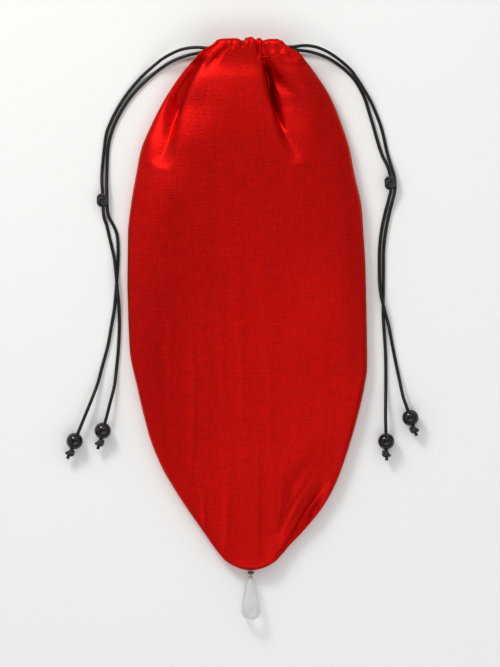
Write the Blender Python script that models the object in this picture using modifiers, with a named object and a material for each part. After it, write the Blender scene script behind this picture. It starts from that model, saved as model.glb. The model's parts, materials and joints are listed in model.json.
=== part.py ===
"""A kinchaku: a pointed satin drawstring pouch, drawn shut and laid flat on a table.

The front and the back are two sheets of satin. They meet along side seams that run round the pointed end, and
each is turned over at the mouth into a channel. Two round leather cords run through both channels from opposite
sides. The free ends of each cord are tied together in one knot and carry a bead each above a stopper knot. A glass
drop hangs on a thread from the pointed end, below a small spacer bead.

Units are metres, +Z is up and the table is z = 0. The mouth points to +Y and +X is to the right of someone who
looks down at the front. The origin is under the middle of the bag and its drop.
"""

import math

import bpy
import numpy as np
from mathutils import Vector

MM = 0.001

# The bag
BAG_WIDTH = 144 * MM
BAG_LENGTH = 320 * MM
MOUTH_WIDTH = 64 * MM
MOUTH_SHIFT = 1.3 * MM
CLOTH = 0.9 * MM
SEAM_GAP = 0.3 * MM
SEAM_HEIGHT = 4.5 * MM
MOUTH_SEAM_HEIGHT = 9 * MM
EDGE_ROLL = 3 * MM
BELLY_HEIGHT = 18 * MM
SHOULDER_HEIGHT = 20.5 * MM
TIP_HEIGHT = 9 * MM

# The channel that each sheet is turned over into at the mouth
CHANNEL_DEPTH = 12.2 * MM
CHANNEL_ROOM = 5 * MM
CHANNEL_TOP_WIDTH = 39 * MM
MOUTH_OPENING = 6.4 * MM
STITCH_DIP = 1.2 * MM
HEM_RISE = 1.5 * MM
RUFFLE = 1.1 * MM
BACK_RUFFLE = 0.5 * MM
HEM_WIDTH = 46 * MM
BACK_EDGE_DROP = 1.8 * MM

# Cords, knots and beads
CORD_DIAMETER = 2 * MM
CORD_CLEARANCE = 0.3 * MM
BEAD_DIAMETER = 10 * MM
KNOT_WIDTH = 8.4 * MM
KNOT_LENGTH = 7.2 * MM
KNOT_FLATNESS = 0.78
STOPPER_DIAMETER = 4.9 * MM
STOPPER_LENGTH = 4.4 * MM
STOPPER_TAIL = 2 * MM
TABLE_CLEARANCE = 0.1 * MM

# The hanging drop
TIP_BEAD_DIAMETER = 4.4 * MM
TIP_BEAD_LENGTH = 2.2 * MM
THREAD_DIAMETER = 0.5 * MM
THREAD_CLEARANCE = 0.3 * MM
DROP_LENGTH = 27 * MM
DROP_DIAMETER = 11.6 * MM
DROP_HOLE_DEPTH = 1.9 * MM
DROP_HOLE_CLEARANCE = 0.21 * MM
DROP_GAP = 0.6 * MM

# Places that follow from the sizes above
HALF_WIDTH = BAG_WIDTH / 2
HALF_MOUTH = MOUTH_WIDTH / 2
CORD_RADIUS = CORD_DIAMETER / 2
HANG = SEAM_GAP + TIP_BEAD_LENGTH + DROP_GAP + DROP_LENGTH
TOP_Y = (BAG_LENGTH + HANG) / 2
TIP_Y = TOP_Y - BAG_LENGTH
STITCH_Y = TOP_Y - CHANNEL_DEPTH
BODY = STITCH_Y - TIP_Y
BACK_HEM_Z = 2 * CLOTH + CHANNEL_ROOM
FRONT_HEM_Z = BACK_HEM_Z + MOUTH_OPENING
FRONT_TOP_Z = FRONT_HEM_Z + 2 * CLOTH + CHANNEL_ROOM
FRONT_STITCH_Z = FRONT_TOP_Z - STITCH_DIP

# The bag's edge from the pointed end up to the stitch line of the channel. The first number is the share of that
# height. The second is the share of half the bag's width up to the widest place, and above it the share of the
# step from the mouth out to the full width.
LEFT_LOWER = ((0.02, 0.19), (0.04, 0.26), (0.08, 0.38), (0.12, 0.5), (0.16, 0.61), (0.2, 0.71), (0.25, 0.8),
              (0.3, 0.86), (0.36, 0.92), (0.43, 0.98), (0.55, 1.0))
LEFT_UPPER = ((0.55, 1.0), (0.66, 0.99), (0.7, 0.96), (0.78, 0.86), (0.82, 0.8), (0.86, 0.68), (0.92, 0.45),
              (0.975, 0.17), (1.0, 0.0))
RIGHT_LOWER = ((0.02, 0.25), (0.04, 0.32), (0.08, 0.48), (0.12, 0.62), (0.16, 0.72), (0.2, 0.79), (0.25, 0.86),
               (0.3, 0.92), (0.35, 0.97), (0.4, 1.0), (0.55, 0.99))
RIGHT_UPPER = ((0.55, 0.98), (0.6, 0.97), (0.66, 0.94), (0.7, 0.92), (0.78, 0.79), (0.82, 0.73), (0.86, 0.63),
               (0.92, 0.44), (0.975, 0.16), (1.0, 0.0))
TIP_START = LEFT_LOWER[0][0]
WIDEST = LEFT_LOWER[-1][0]
TIP_SAG = TIP_START * BODY

# The height of the front along the bag, as a share of the step from the tip to the belly, and from the belly to
# the shoulder.
BELLY_RISE = ((0.02, 0.0), (0.08, 0.25), (0.16, 0.55), (0.3, 0.88), (0.45, 1.0))
SHOULDER_RISE = ((0.45, 0.0), (0.7, 0.45), (0.88, 1.0), (0.96, 0.9), (1.0, 0.0))
VENT_START = 0.985

# How far the ruffled top edge lies below its highest point, as a share of the channel's depth, from left to right
# across the mouth.
TOP_EDGE = ((-1.0, 0.16), (-0.85, 0.1), (-0.32, 0.1), (-0.27, 0.16), (-0.21, 0.33), (-0.16, 0.13), (-0.08, 0.04),
            (0.03, 0.0), (0.12, 0.05), (0.18, 0.12), (0.32, 0.06), (0.45, 0.17), (0.65, 0.11), (0.84, 0.11),
            (1.0, 0.23))

# Valleys in the channel's outer layer: place across and half width, as shares of half the gathered top.
RUFFLE_VALLEYS = ((-0.62, 0.1), (-0.4, 0.08), (-0.21, 0.07), (0.2, 0.06), (0.38, 0.07), (0.52, 0.07), (0.78, 0.09))

# Creases that run down from the mouth: the path as places up and across the bag, where each fades in and out,
# the depth as a share of the shoulder's height, and the width of its left and right slope as a share of half the
# bag's width.
FRONT_CREASES = (
    dict(path=((0.86, -0.84), (0.89, -0.81), (0.93, -0.79), (0.97, -0.83), (1.0, -0.8)),
         fade=(0.84, 0.88, 0.97, 1.005), depth=0.366, left=0.139, right=0.042),
    dict(path=((0.85, 0.31), (0.89, 0.27), (0.93, 0.25), (0.97, 0.22), (1.0, 0.25)),
         fade=(0.84, 0.9, 0.97, 1.005), depth=0.439, left=0.036, right=0.153),
    dict(path=((0.96, -0.6), (1.0, -0.45)), fade=(0.955, 0.98, 1.0, 1.1), depth=0.107, left=0.035, right=0.035),
    dict(path=((0.97, 0.62), (1.0, 0.56)), fade=(0.965, 0.985, 1.0, 1.1), depth=0.098, left=0.056, right=0.056),
    dict(path=((0.02, 1.0), (0.04, 0.96), (0.1, 0.81), (0.13, 0.79), (0.16, 0.86), (0.2, 0.98)),
         fade=(0.02, 0.05, 0.13, 0.17), depth=0.22, left=0.031, right=0.069),
)
BACK_CREASES = (
    dict(path=((0.86, -0.5), (1.0, -0.45)), fade=(0.84, 0.93, 0.96, 1.01), depth=0.156, left=0.056, right=0.069),
    dict(path=((0.88, 0.05), (1.0, 0.0)), fade=(0.87, 0.94, 0.96, 1.01), depth=0.127, left=0.056, right=0.049),
    dict(path=((0.84, 0.5), (1.0, 0.5)), fade=(0.83, 0.92, 0.96, 1.01), depth=0.156, left=0.069, right=0.056),
)

# Shallow hollows and swells of the front: place up, place across, height as a share of the shoulder's height, size
# across as a share of half the bag's width and size along as a share of its body.
FRONT_SWELLS = (
    (0.82, -0.82, -0.156, 0.125, 0.039),
    (0.865, 0.45, -0.146, 0.153, 0.055),
    (0.93, -0.25, 0.059, 0.194, 0.071),
    (0.14, 0.6, 0.078, 0.125, 0.045),
)

# The drop's radius as a share of its greatest, at shares of the way from its tip to its fullest place, and how much
# of its length that place is from the tip.
DROP_TAPER = ((0, 0.2), (0.05, 0.26), (0.09, 0.33), (0.125, 0.42), (0.19, 0.53), (0.31, 0.67), (0.5, 0.79),
              (0.69, 0.9), (0.88, 0.98), (1, 1))
DROP_FULLEST = 0.8
DROP_TIP_ROUND = 0.02

# The thread's loop below the spacer bead: shares of the way up from the drop's hole to the bead, and half the loop's
# height as a share of its greatest.
THREAD_LOOP = ((0.55, 0.72), (0.22, 1.0), (0, 0.88), (0, 0.45))
STRAND_APART = 0.76
STRAND_SPREAD = 1.15

# How the front arches across, as powers: over the body and at the drawn mouth. Then the shares of the body's height
# where the tip stops sagging, the seams start to lift, the mouth starts to draw in and the crown goes down to it.
BODY_ARCH = 2.4
MOUTH_ARCH = 7.4
SAG_END = 0.14
LIFT_START = 0.86
DRAW_START = 0.9
CROWN_END = 0.96

# Rows of the two sheets, as shares of the way from the tip to the stitch line.
FRONT_ROWS = (0.02, 0.0201, 0.023, 0.03, 0.05, 0.07, 0.09, 0.11, 0.13, 0.15, 0.18, 0.23, 0.31, 0.4, 0.5, 0.6, 0.68,
              0.74, 0.775, 0.8, 0.825, 0.85, 0.87, 0.89, 0.91, 0.93, 0.95, 0.968, 0.985, 1.0)
BACK_ROWS = (0.02, 0.0201, 0.023, 0.03, 0.05, 0.09, 0.13, 0.18, 0.23, 0.31, 0.4, 0.5, 0.6, 0.68, 0.74, 0.8, 0.85,
             0.89, 0.93, 0.968, 0.985, 1.0)
CHANNEL_ROWS = (0.45, 0.8)
FRONT_COLUMNS = 24
BACK_COLUMNS = 14
FOLD_STEPS = 5

# How finely round pieces are made: steps round them, then steps along their outside.
BEAD_STEPS = (14, 9)
STOPPER_STEPS = (10, 5)
KNOT_STEPS = (12, 6)
TIP_BEAD_STEPS = (12, 6)
DROP_STEPS = (16, 15)
HOLE_STEPS = 10
BORE_EDGE = 1.15
CORD_STEP = 3 * CORD_DIAMETER
CHANNEL_CORD_STEP = 2 * CORD_DIAMETER
THREAD_STEP = 1.4 * THREAD_DIAMETER

# Routes, from the channel outwards, chosen by hand. Each point is x, y, z in millimetres, with the bag's top edge at
# the y of ROUTES_TOP.
ROUTES_TOP = 175.05 * MM
LEFT_A = ((-25.5, 168.2, 16.4), (-31.1, 168.6, 15.4), (-39.8, 167.3, 12.0), (-49.3, 162.9, 7.6), (-56.6, 157.4, 4.2),
          (-64.5, 150.2, 1.8), (-71.8, 141.5, 1.15), (-77.6, 132.7, 1.15), (-82.0, 124.1, 1.15), (-84.6, 116.9, 1.15),
          (-86.0, 106.7, 1.15), (-87.1, 95.6, 1.15), (-87.3, 87.5, 2.3), (-86.7, 81.0, 3.4), (-86.5, 73.5, 3.4),
          (-86.1, 67.5, 2.3), (-84.3, 61.7, 1.15), (-82.2, 52.7, 1.15), (-80.0, 43.1, 1.9), (-78.9, 34.0, 3.2),
          (-78.0, 23.6, 3.2), (-77.0, 13.1, 1.9), (-76.8, -0.1, 1.15), (-77.5, -13.6, 1.15), (-78.3, -21.8, 1.15),
          (-79.7, -34.0, 2.6), (-82.2, -44.0, 4.6), (-84.1, -51.6, 5.1), (-86.5, -60.4, 5.1), (-89.7, -72.2, 5.1))
LEFT_B = ((-25.5, 167.0, 3.1), (-28.7, 165.8, 2.9), (-36.9, 163.9, 2.2), (-45.6, 160.4, 1.3), (-52.9, 155.6, 1.15),
          (-60.2, 149.5, 1.15), (-67.5, 142.2, 1.15), (-73.4, 134.3, 1.15), (-78.4, 125.5, 1.15),
          (-81.6, 117.5, 1.15), (-83.4, 109.6, 1.15), (-84.1, 99.5, 1.15), (-84.4, 88.0, 2.3), (-84.2, 81.0, 3.4),
          (-84.1, 73.5, 3.4), (-83.2, 67.5, 2.3), (-80.6, 62.5, 1.2), (-78.3, 57.0, 1.15), (-77.5, 48.5, 1.15),
          (-77.7, 38.3, 1.15), (-78.5, 27.0, 1.15), (-79.6, 13.5, 1.15), (-81.5, 2.0, 1.15), (-83.7, -10.3, 1.15),
          (-86.8, -21.7, 1.15), (-90.0, -33.5, 2.6), (-93.6, -43.0, 4.6), (-97.1, -51.6, 5.1), (-103.9, -68.2, 5.1),
          (-107.9, -78.0, 5.1))
RIGHT_A = ((27.5, 168.9, 16.4), (34.2, 169.7, 15.0), (40.0, 169.2, 12.8), (45.8, 167.3, 9.8), (51.6, 164.1, 6.8),
           (57.5, 159.7, 4.6), (62.6, 154.9, 3.6), (66.9, 148.7, 3.2), (70.5, 142.9, 3.2), (74.2, 136.4, 2.4),
           (77.1, 129.8, 1.3), (79.9, 122.6, 1.15), (81.9, 115.3, 1.15), (83.8, 106.6, 1.15), (86.3, 98.0, 2.3),
           (88.3, 91.2, 3.4), (88.7, 84.0, 3.4), (87.5, 78.0, 2.3), (85.4, 69.5, 1.15), (83.2, 58.7, 1.15),
           (81.9, 47.3, 1.15), (81.8, 35.6, 1.15), (81.7, 24.1, 1.15), (81.6, 9.2, 1.15), (82.4, -4.6, 1.15),
           (83.1, -17.2, 1.15), (83.2, -30.5, 1.2), (83.1, -42.5, 2.8), (83.0, -50.5, 4.6), (83.1, -58.5, 5.1),
           (83.4, -68.6, 5.1), (83.7, -79.0, 5.1))
RIGHT_B = ((31.5, 167.2, 3.1), (36.4, 166.6, 2.9), (43.0, 164.8, 2.2), (48.8, 162.4, 1.4), (54.6, 158.7, 1.15),
           (59.7, 154.6, 1.15), (64.2, 149.8, 1.15), (67.7, 144.2, 1.15), (70.7, 137.9, 1.15), (73.2, 129.8, 1.15),
           (75.9, 121.0, 1.15), (77.9, 113.8, 1.15), (80.9, 104.4, 1.15), (84.0, 98.0, 2.2), (86.0, 91.2, 3.4),
           (86.3, 84.0, 3.4), (85.1, 78.2, 2.4), (82.8, 69.5, 1.15), (80.6, 59.0, 1.15), (79.4, 47.3, 1.15),
           (79.3, 35.6, 1.15), (79.5, 27.5, 1.9), (80.3, 20.0, 3.25), (82.6, 10.5, 3.25), (84.9, 2.0, 1.9),
           (87.2, -10.3, 1.15), (89.5, -21.7, 1.15), (91.6, -31.8, 3.0), (93.5, -40.6, 5.1), (95.5, -46.4, 5.1),
           (98.4, -54.9, 5.1), (101.6, -64.2, 5.1))
CORDS = {"left_cord_a": LEFT_A, "left_cord_b": LEFT_B, "right_cord_a": RIGHT_A, "right_cord_b": RIGHT_B}
KNOT_PLACES = {"left": ((-85.45, 81, 3.4), (-85.3, 73.5, 3.4)), "right": ((87.15, 91.2, 3.4), (87.5, 84.0, 3.4))}

# Where each cord runs inside the channels and turns back at the far side.
LEFT_IN_CHANNEL = ((-25.0, 168.2, 16.4), (-18.0, 168.2, 16.8), (-9.0, 167.7, 17.3), (1.0, 167.0, 17.3),
                   (11.0, 166.4, 16.6), (20.0, 166.0, 15.7), (26.0, 165.8, 15.2), (29.6, 165.7, 13.3),
                   (30.6, 165.7, 10.3), (29.4, 165.7, 7.2), (26.0, 165.7, 4.9), (19.0, 165.7, 4.2),
                   (8.0, 165.9, 3.4), (-3.0, 166.2, 2.8), (-13.0, 166.4, 2.7), (-20.0, 166.8, 2.75),
                   (-25.0, 167.1, 3.1))
RIGHT_IN_CHANNEL = ((27.0, 168.9, 16.4), (20.0, 168.9, 16.6), (12.0, 168.7, 16.2), (2.0, 168.3, 15.3),
                    (-8.0, 167.2, 15.2), (-16.0, 166.2, 15.3), (-22.5, 165.8, 15.1), (-26.2, 165.7, 13.2),
                    (-27.3, 165.7, 10.1), (-26.0, 165.7, 7.3), (-22.5, 165.9, 5.0), (-18.0, 167.4, 4.8),
                    (-6.0, 169.2, 4.2), (4.0, 169.4, 3.4), (14.0, 169.2, 2.9), (22.0, 168.3, 3.0),
                    (31.0, 167.3, 3.1))


def smooth_value(points, where):
    """A curve through hand-chosen points, each a place and a value, that never overshoots them."""
    place, value = np.array(points, float).T
    step = np.diff(place)
    slope = np.diff(value) / step
    tangent = np.zeros(len(place))
    turn = slope[:-1] * slope[1:] > 0
    tangent[1:-1][turn] = 2 * slope[:-1][turn] * slope[1:][turn] / (slope[:-1] + slope[1:])[turn]
    tangent[0], tangent[-1] = slope[0], slope[-1]
    where = np.clip(where, place[0], place[-1])
    at = np.clip(np.searchsorted(place, where) - 1, 0, len(step) - 1)
    t = (where - place[at]) / step[at]
    rise = value[at] * (1 + 2 * t) * (1 - t) ** 2 + value[at + 1] * t * t * (3 - 2 * t)
    return rise + step[at] * (tangent[at] * t * (1 - t) ** 2 - tangent[at + 1] * t * t * (1 - t))


def ease(start, end, where):
    """0 before start, 1 after end and a soft step between them."""
    t = np.clip((where - start) / (end - start), 0, 1)
    return t * t * (3 - 2 * t)


def bag_edges(up):
    """X of the left and the right edge, at a share of the height from the tip to the stitch line."""
    sides = []
    for sign, lower, upper in ((-1, LEFT_LOWER, LEFT_UPPER), (1, RIGHT_LOWER, RIGHT_UPPER)):
        mouth = HALF_MOUTH + sign * MOUTH_SHIFT
        below = HALF_WIDTH * smooth_value(lower, up)
        above = mouth + (HALF_WIDTH - mouth) * smooth_value(upper, up)
        sides.append(sign * np.where(up < WIDEST, below, above))
    return sides


def seam_z(up):
    """Height of the side seam, which lifts towards the drawn mouth."""
    return SEAM_HEIGHT + (MOUTH_SEAM_HEIGHT - SEAM_HEIGHT) * ease(LIFT_START, 1, up)


def edge_roll(across, up, half):
    """0 on the seam and 1 once the cloth has rolled over from it, along the sides and at the pointed end."""
    side = np.clip((1 - np.abs(across)) * half / EDGE_ROLL, 0, 1)
    end = np.clip((up - TIP_START) * BODY / EDGE_ROLL, 0, 1)
    return np.sqrt(1 - (1 - side) ** 2) * np.sqrt(1 - (1 - end) ** 2)


def crease_depth(creases, across, up, half):
    """How far a sheet is pushed in by its creases."""
    total = np.zeros(np.shape(across + up))
    for crease in creases:
        away = (across - smooth_value(crease["path"], up)) * half / HALF_WIDTH
        width = np.where(away < 0, crease["left"], crease["right"])
        first, full, last, gone = crease["fade"]
        fade = ease(first, full, up) * (1 - ease(last, gone, up))
        total = np.maximum(total, crease["depth"] * SHOULDER_HEIGHT * fade * np.exp(-((away / width) ** 2)))
    return total


def swell_height(across, up, half):
    """Shallow hollows and swells of the front."""
    total = np.zeros(np.shape(across + up))
    for swell_up, swell_across, height, wide, long in FRONT_SWELLS:
        aside = (across - swell_across) * half / (wide * HALF_WIDTH)
        along = (up - swell_up) / long
        total += height * SHOULDER_HEIGHT * np.exp(-(aside**2 + along**2) ** 1.5)
    return total


def column_places(count):
    """Places across a sheet from -1 to 1. At each edge the cloth first stands up, then rolls over."""
    inner = np.linspace(-0.95, 0.95, count - 5)
    return np.concatenate(([-1, -0.9995, -0.985], inner, [0.985, 0.9995, 1]))


def body_plan(across, up):
    """X, Y and half width of the bag at places across and up it."""
    left, right = bag_edges(up)
    half = (right - left) / 2
    x = (left + right) / 2 + across * half
    sag = TIP_SAG * (1 - ease(TIP_START, SAG_END, up)) * (1 - across**2)
    return x, TIP_Y + up * BODY - sag, half


def front_height(across, up, half):
    """The outer face of the front sheet above the table."""
    belly = TIP_HEIGHT + (BELLY_HEIGHT - TIP_HEIGHT) * smooth_value(BELLY_RISE, up)
    shoulder = (SHOULDER_HEIGHT - BELLY_HEIGHT) * smooth_value(SHOULDER_RISE, up)
    drawn = ease(DRAW_START, 1, up)
    lowered = ease(CROWN_END, 1, up)
    crown = (belly + shoulder) * (1 - lowered) + FRONT_STITCH_Z * lowered
    edge = seam_z(up) + SEAM_GAP / 2
    edge = edge + (FRONT_STITCH_Z - EDGE_ROLL - edge) * ease(VENT_START, 1, up)
    arch = 1 - np.abs(across) ** (BODY_ARCH + (MOUTH_ARCH - BODY_ARCH) * drawn)
    rolled = edge_roll(across, up, half)
    z = edge + EDGE_ROLL * rolled + (crown - edge - EDGE_ROLL) * arch
    shaped = swell_height(across, up, half) - crease_depth(FRONT_CREASES, across, up, half)
    floor = seam_z(up) + SEAM_GAP / 2 + CLOTH
    return np.where(rolled > 0.99, np.maximum(z + shaped * rolled, floor), z)


def back_height(across, up, half):
    """The outer face of the back sheet, which lies on the table."""
    edge = seam_z(up) - SEAM_GAP / 2
    edge = edge * (1 - ease(VENT_START, 1, up))
    rolled = edge_roll(across, up, half)
    return edge * (1 - rolled) + rolled * crease_depth(BACK_CREASES, across, up, half)


def ruffle_valley(across):
    """0 where the gathered channel stands proud and 1 in its valleys."""
    valley = np.zeros(np.shape(across))
    for place, width in RUFFLE_VALLEYS:
        valley = np.maximum(valley, np.exp(-(((across - place) / width) ** 2)))
    return valley


def channel_rows(across, outer_z, stitch_z, hem_z, ruffle, top_drop):
    """Rows of the channel: up its outer layer, over the fold at the top edge and down its inner layer."""
    mouth_x = MOUTH_SHIFT + across * HALF_MOUTH
    top_x = MOUTH_SHIFT + across * CHANNEL_TOP_WIDTH / 2
    hem_x = MOUTH_SHIFT + across * HEM_WIDTH / 2
    fold = abs(outer_z - hem_z) / 2
    inward = np.sign(hem_z - outer_z)
    top_y = TOP_Y - top_drop
    rows = []
    for share in CHANNEL_ROWS:
        y = STITCH_Y + (top_y - fold - STITCH_Y) * share
        swell = ease(0, CHANNEL_ROWS[-1], share)
        z = stitch_z + (outer_z + ruffle - stitch_z) * swell
        rows.append((mouth_x + (top_x - mouth_x) * ease(0, 1.5, share), y, z))
    for step in range(FOLD_STEPS + 1):
        turn = math.pi * step / FOLD_STEPS
        lean = (1 - math.cos(turn)) / 2
        z = outer_z + ruffle * (1 - lean) + (hem_z - outer_z) * lean
        x = mouth_x + (top_x - mouth_x) * (0.75 + 0.25 * math.sin(turn))
        rows.append((x, top_y - fold + fold * math.sin(turn), z))
    hem_end_z = stitch_z + inward * (2 * CLOTH + SEAM_GAP)
    for y, z in ((STITCH_Y + HEM_RISE, hem_z), (STITCH_Y + HEM_RISE / 3, (hem_z + 2 * hem_end_z) / 3),
                 (STITCH_Y - HEM_RISE / 3, hem_end_z)):
        rows.append((hem_x, y, z))
    return rows


def sheet_points(rows, columns, height):
    """Points of a sheet's body as rows of x, y and z."""
    points = []
    across = column_places(columns)
    for up in rows:
        x, y, half = body_plan(across, up)
        points.append((x, y, height(across, up, half)))
    return across, points


def material(name, colour, roughness, metallic=0.0):
    made = bpy.data.materials.new(name)
    made.use_nodes = True
    shader = made.node_tree.nodes["Principled BSDF"]
    shader.inputs["Base Color"].default_value = (*colour, 1)
    shader.inputs["Roughness"].default_value = roughness
    shader.inputs["Metallic"].default_value = metallic
    return made


def keep(obj, finish):
    """Put a finished object in the pouch's collection, with its material."""
    for old in list(obj.users_collection):
        old.objects.unlink(obj)
    pouch.objects.link(obj)
    obj.data.materials.clear()
    obj.data.materials.append(finish)
    return obj


def mesh_object(name, points, faces, finish):
    mesh = bpy.data.meshes.new(name)
    mesh.from_pydata([tuple(p) for p in points], [], faces)
    mesh.shade_smooth()
    return keep(bpy.data.objects.new(name, mesh), finish)


def sheet(name, rows, outside_up, finish):
    """A sheet of cloth lofted through rows of points, with its thickness on the inner side."""
    grid = np.array([np.stack(np.broadcast_arrays(*row), -1) for row in rows])
    count = grid.shape[1]
    faces = []
    for j in range(len(grid) - 1):
        for i in range(count - 1):
            a = j * count + i
            corners = (a, a + 1, a + count + 1, a + count)
            faces.append(corners if outside_up else corners[::-1])
    obj = mesh_object(name, grid.reshape(-1, 3), faces, finish)
    wall = obj.modifiers.new("Cloth", "SOLIDIFY")
    wall.thickness = CLOTH
    wall.offset = -1
    return obj


def cord_places(points):
    """A route's points in metres, moved with the bag's top edge."""
    return np.array(points) * MM + (0, TOP_Y - ROUTES_TOP, 0)


def route(points):
    """A smooth curve through a route's points, as closely spaced points."""
    p = np.array(points)
    p = np.vstack((2 * p[0] - p[1], p, 2 * p[-1] - p[-2]))
    out = []
    for a, b, c, d in zip(p, p[1:], p[2:], p[3:]):
        for t in np.linspace(0, 1, 24, endpoint=False):
            out.append(0.5 * (2 * b + (c - a) * t + (2 * a - 5 * b + 4 * c - d) * t**2
                              + (3 * b - a - 3 * c + d) * t**3))
    out.append(p[-2])
    return np.array(out)


def spaced(points, gap):
    """Points along a fine curve at equal distances of about gap."""
    steps = np.linalg.norm(np.diff(points, axis=0), axis=1)
    along = np.concatenate(([0], np.cumsum(steps)))
    count = max(2, round(along[-1] / gap))
    at = np.linspace(0, along[-1], count + 1)
    return np.stack([np.interp(at, along, points[:, k]) for k in range(3)], -1)


def tube(name, points, radius, finish):
    """A round cord or thread as a curve with filled ends."""
    curve = bpy.data.curves.new(name, "CURVE")
    curve.dimensions = "3D"
    curve.bevel_depth = radius
    curve.bevel_resolution = 2
    curve.use_fill_caps = True
    spline = curve.splines.new("POLY")
    spline.points.add(len(points) - 1)
    for point, place in zip(spline.points, points):
        point.co = (*place, 1)
    return keep(bpy.data.objects.new(name, curve), finish)


def turned(name, profile, sides, place, axis, finish):
    """A turned piece: a profile of radius and height, spun about the axis through its place.

    The profile runs down the outside. One that doesn't start on the axis is closed, up its bore.
    """
    mesh = bpy.data.meshes.new(name)
    count = len(profile)
    edges = [(i, i + 1) for i in range(count - 1)]
    if profile[0][0] > 0:
        edges.append((count - 1, 0))
    mesh.from_pydata([(r, 0, z) for r, z in profile], edges, [])
    obj = keep(bpy.data.objects.new(name, mesh), finish)
    spin = obj.modifiers.new("Turn", "SCREW")
    spin.steps = spin.render_steps = sides
    spin.use_merge_vertices = True
    spin.merge_threshold = 0.0001 * MM
    spin.use_smooth_shade = True
    obj.rotation_mode = "QUATERNION"
    obj.rotation_quaternion = Vector((0, 0, 1)).rotation_difference(Vector(axis))
    obj.location = place
    return obj


def ball_profile(radius, length, bore, steps):
    """A ball or barrel of this radius with flat ends and a bore: down its outside, then up the bore."""
    start = math.asin(min(1, bore * BORE_EDGE / radius))
    turns = np.linspace(start, math.pi - start, steps)
    stretch = length / (2 * radius * math.cos(start))
    outside = [(radius * math.sin(t), radius * math.cos(t) * stretch) for t in turns]
    return outside + [(bore, -length / 2), (bore, length / 2)]


def build_bag(satin):
    across, rows = sheet_points(FRONT_ROWS, FRONT_COLUMNS, front_height)
    top_drop = smooth_value(TOP_EDGE, across) * CHANNEL_DEPTH
    ruffle = RUFFLE * (1 - ruffle_valley(across))
    rows += channel_rows(across, FRONT_TOP_Z, rows[-1][2], FRONT_HEM_Z, ruffle, top_drop)
    sheet("front_panel", rows, True, satin)
    across, rows = sheet_points(BACK_ROWS, BACK_COLUMNS, back_height)
    ruffle = BACK_RUFFLE * ruffle_valley(across)
    rows += channel_rows(across, 0, rows[-1][2], BACK_HEM_Z, ruffle, BACK_EDGE_DROP)
    sheet("back_panel", rows, False, satin)


def bead_set(side, leather, onyx):
    """The bead and the stopper knot on each free end of one side's cord."""
    bore = CORD_RADIUS + CORD_CLEARANCE
    length = BEAD_DIAMETER * math.sqrt(1 - (2 * bore * BORE_EDGE / BEAD_DIAMETER) ** 2)
    bead = ball_profile(BEAD_DIAMETER / 2, length, bore, BEAD_STEPS[1])
    stopper = ball_profile(STOPPER_DIAMETER / 2, STOPPER_LENGTH, bore, STOPPER_STEPS[1])
    for letter in "ab":
        start, end = (Vector(p) for p in cord_places(CORDS[f"{side}_cord_{letter}"][-2:]))
        axis = (end - start).normalized()
        reach = STOPPER_TAIL + STOPPER_LENGTH / 2
        knot_place = end - axis * reach
        turned(f"{side}_end_knot_{letter}", stopper, STOPPER_STEPS[0], knot_place, axis, leather)
        reach = (length + STOPPER_LENGTH) / 2 + CORD_CLEARANCE
        turned(f"{side}_bead_{letter}", bead, BEAD_STEPS[0], knot_place - axis * reach, axis, onyx)


def build_cords(leather, onyx):
    for name, points in CORDS.items():
        tube(name, spaced(route(cord_places(points)), CORD_STEP), CORD_RADIUS, leather)
    for name, points in (("left_cord_in_channel", LEFT_IN_CHANNEL), ("right_cord_in_channel", RIGHT_IN_CHANNEL)):
        tube(name, spaced(route(cord_places(points)), CHANNEL_CORD_STEP), CORD_RADIUS, leather)
    knot = ball_profile(KNOT_WIDTH / 2, KNOT_LENGTH, CORD_DIAMETER + 2 * CORD_CLEARANCE, KNOT_STEPS[1])
    for side, ends in KNOT_PLACES.items():
        start, end = (Vector(p) for p in cord_places(ends))
        obj = turned(f"{side}_knot", knot, KNOT_STEPS[0], (start + end) / 2, end - start, leather)
        obj.scale = (1, KNOT_FLATNESS, 1)
        bead_set(side, leather, onyx)


def drop_radius(share):
    """The drop's radius at a share of its length from its tip to its round end."""
    rest = max(0, share - DROP_FULLEST) / (1 - DROP_FULLEST)
    tip = math.sqrt(min(1, share / DROP_TIP_ROUND))
    return DROP_DIAMETER / 2 * float(smooth_value(DROP_TAPER, share / DROP_FULLEST)) * tip * math.sqrt(1 - rest**2)


def drop_profile():
    """The glass drop from its round end down to its tip, which sits at height 0."""
    shares = [(1 + math.cos(math.pi * step / DROP_STEPS[1])) / 2 for step in range(DROP_STEPS[1] + 1)]
    return [(drop_radius(share), share * DROP_LENGTH) for share in shares]


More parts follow.
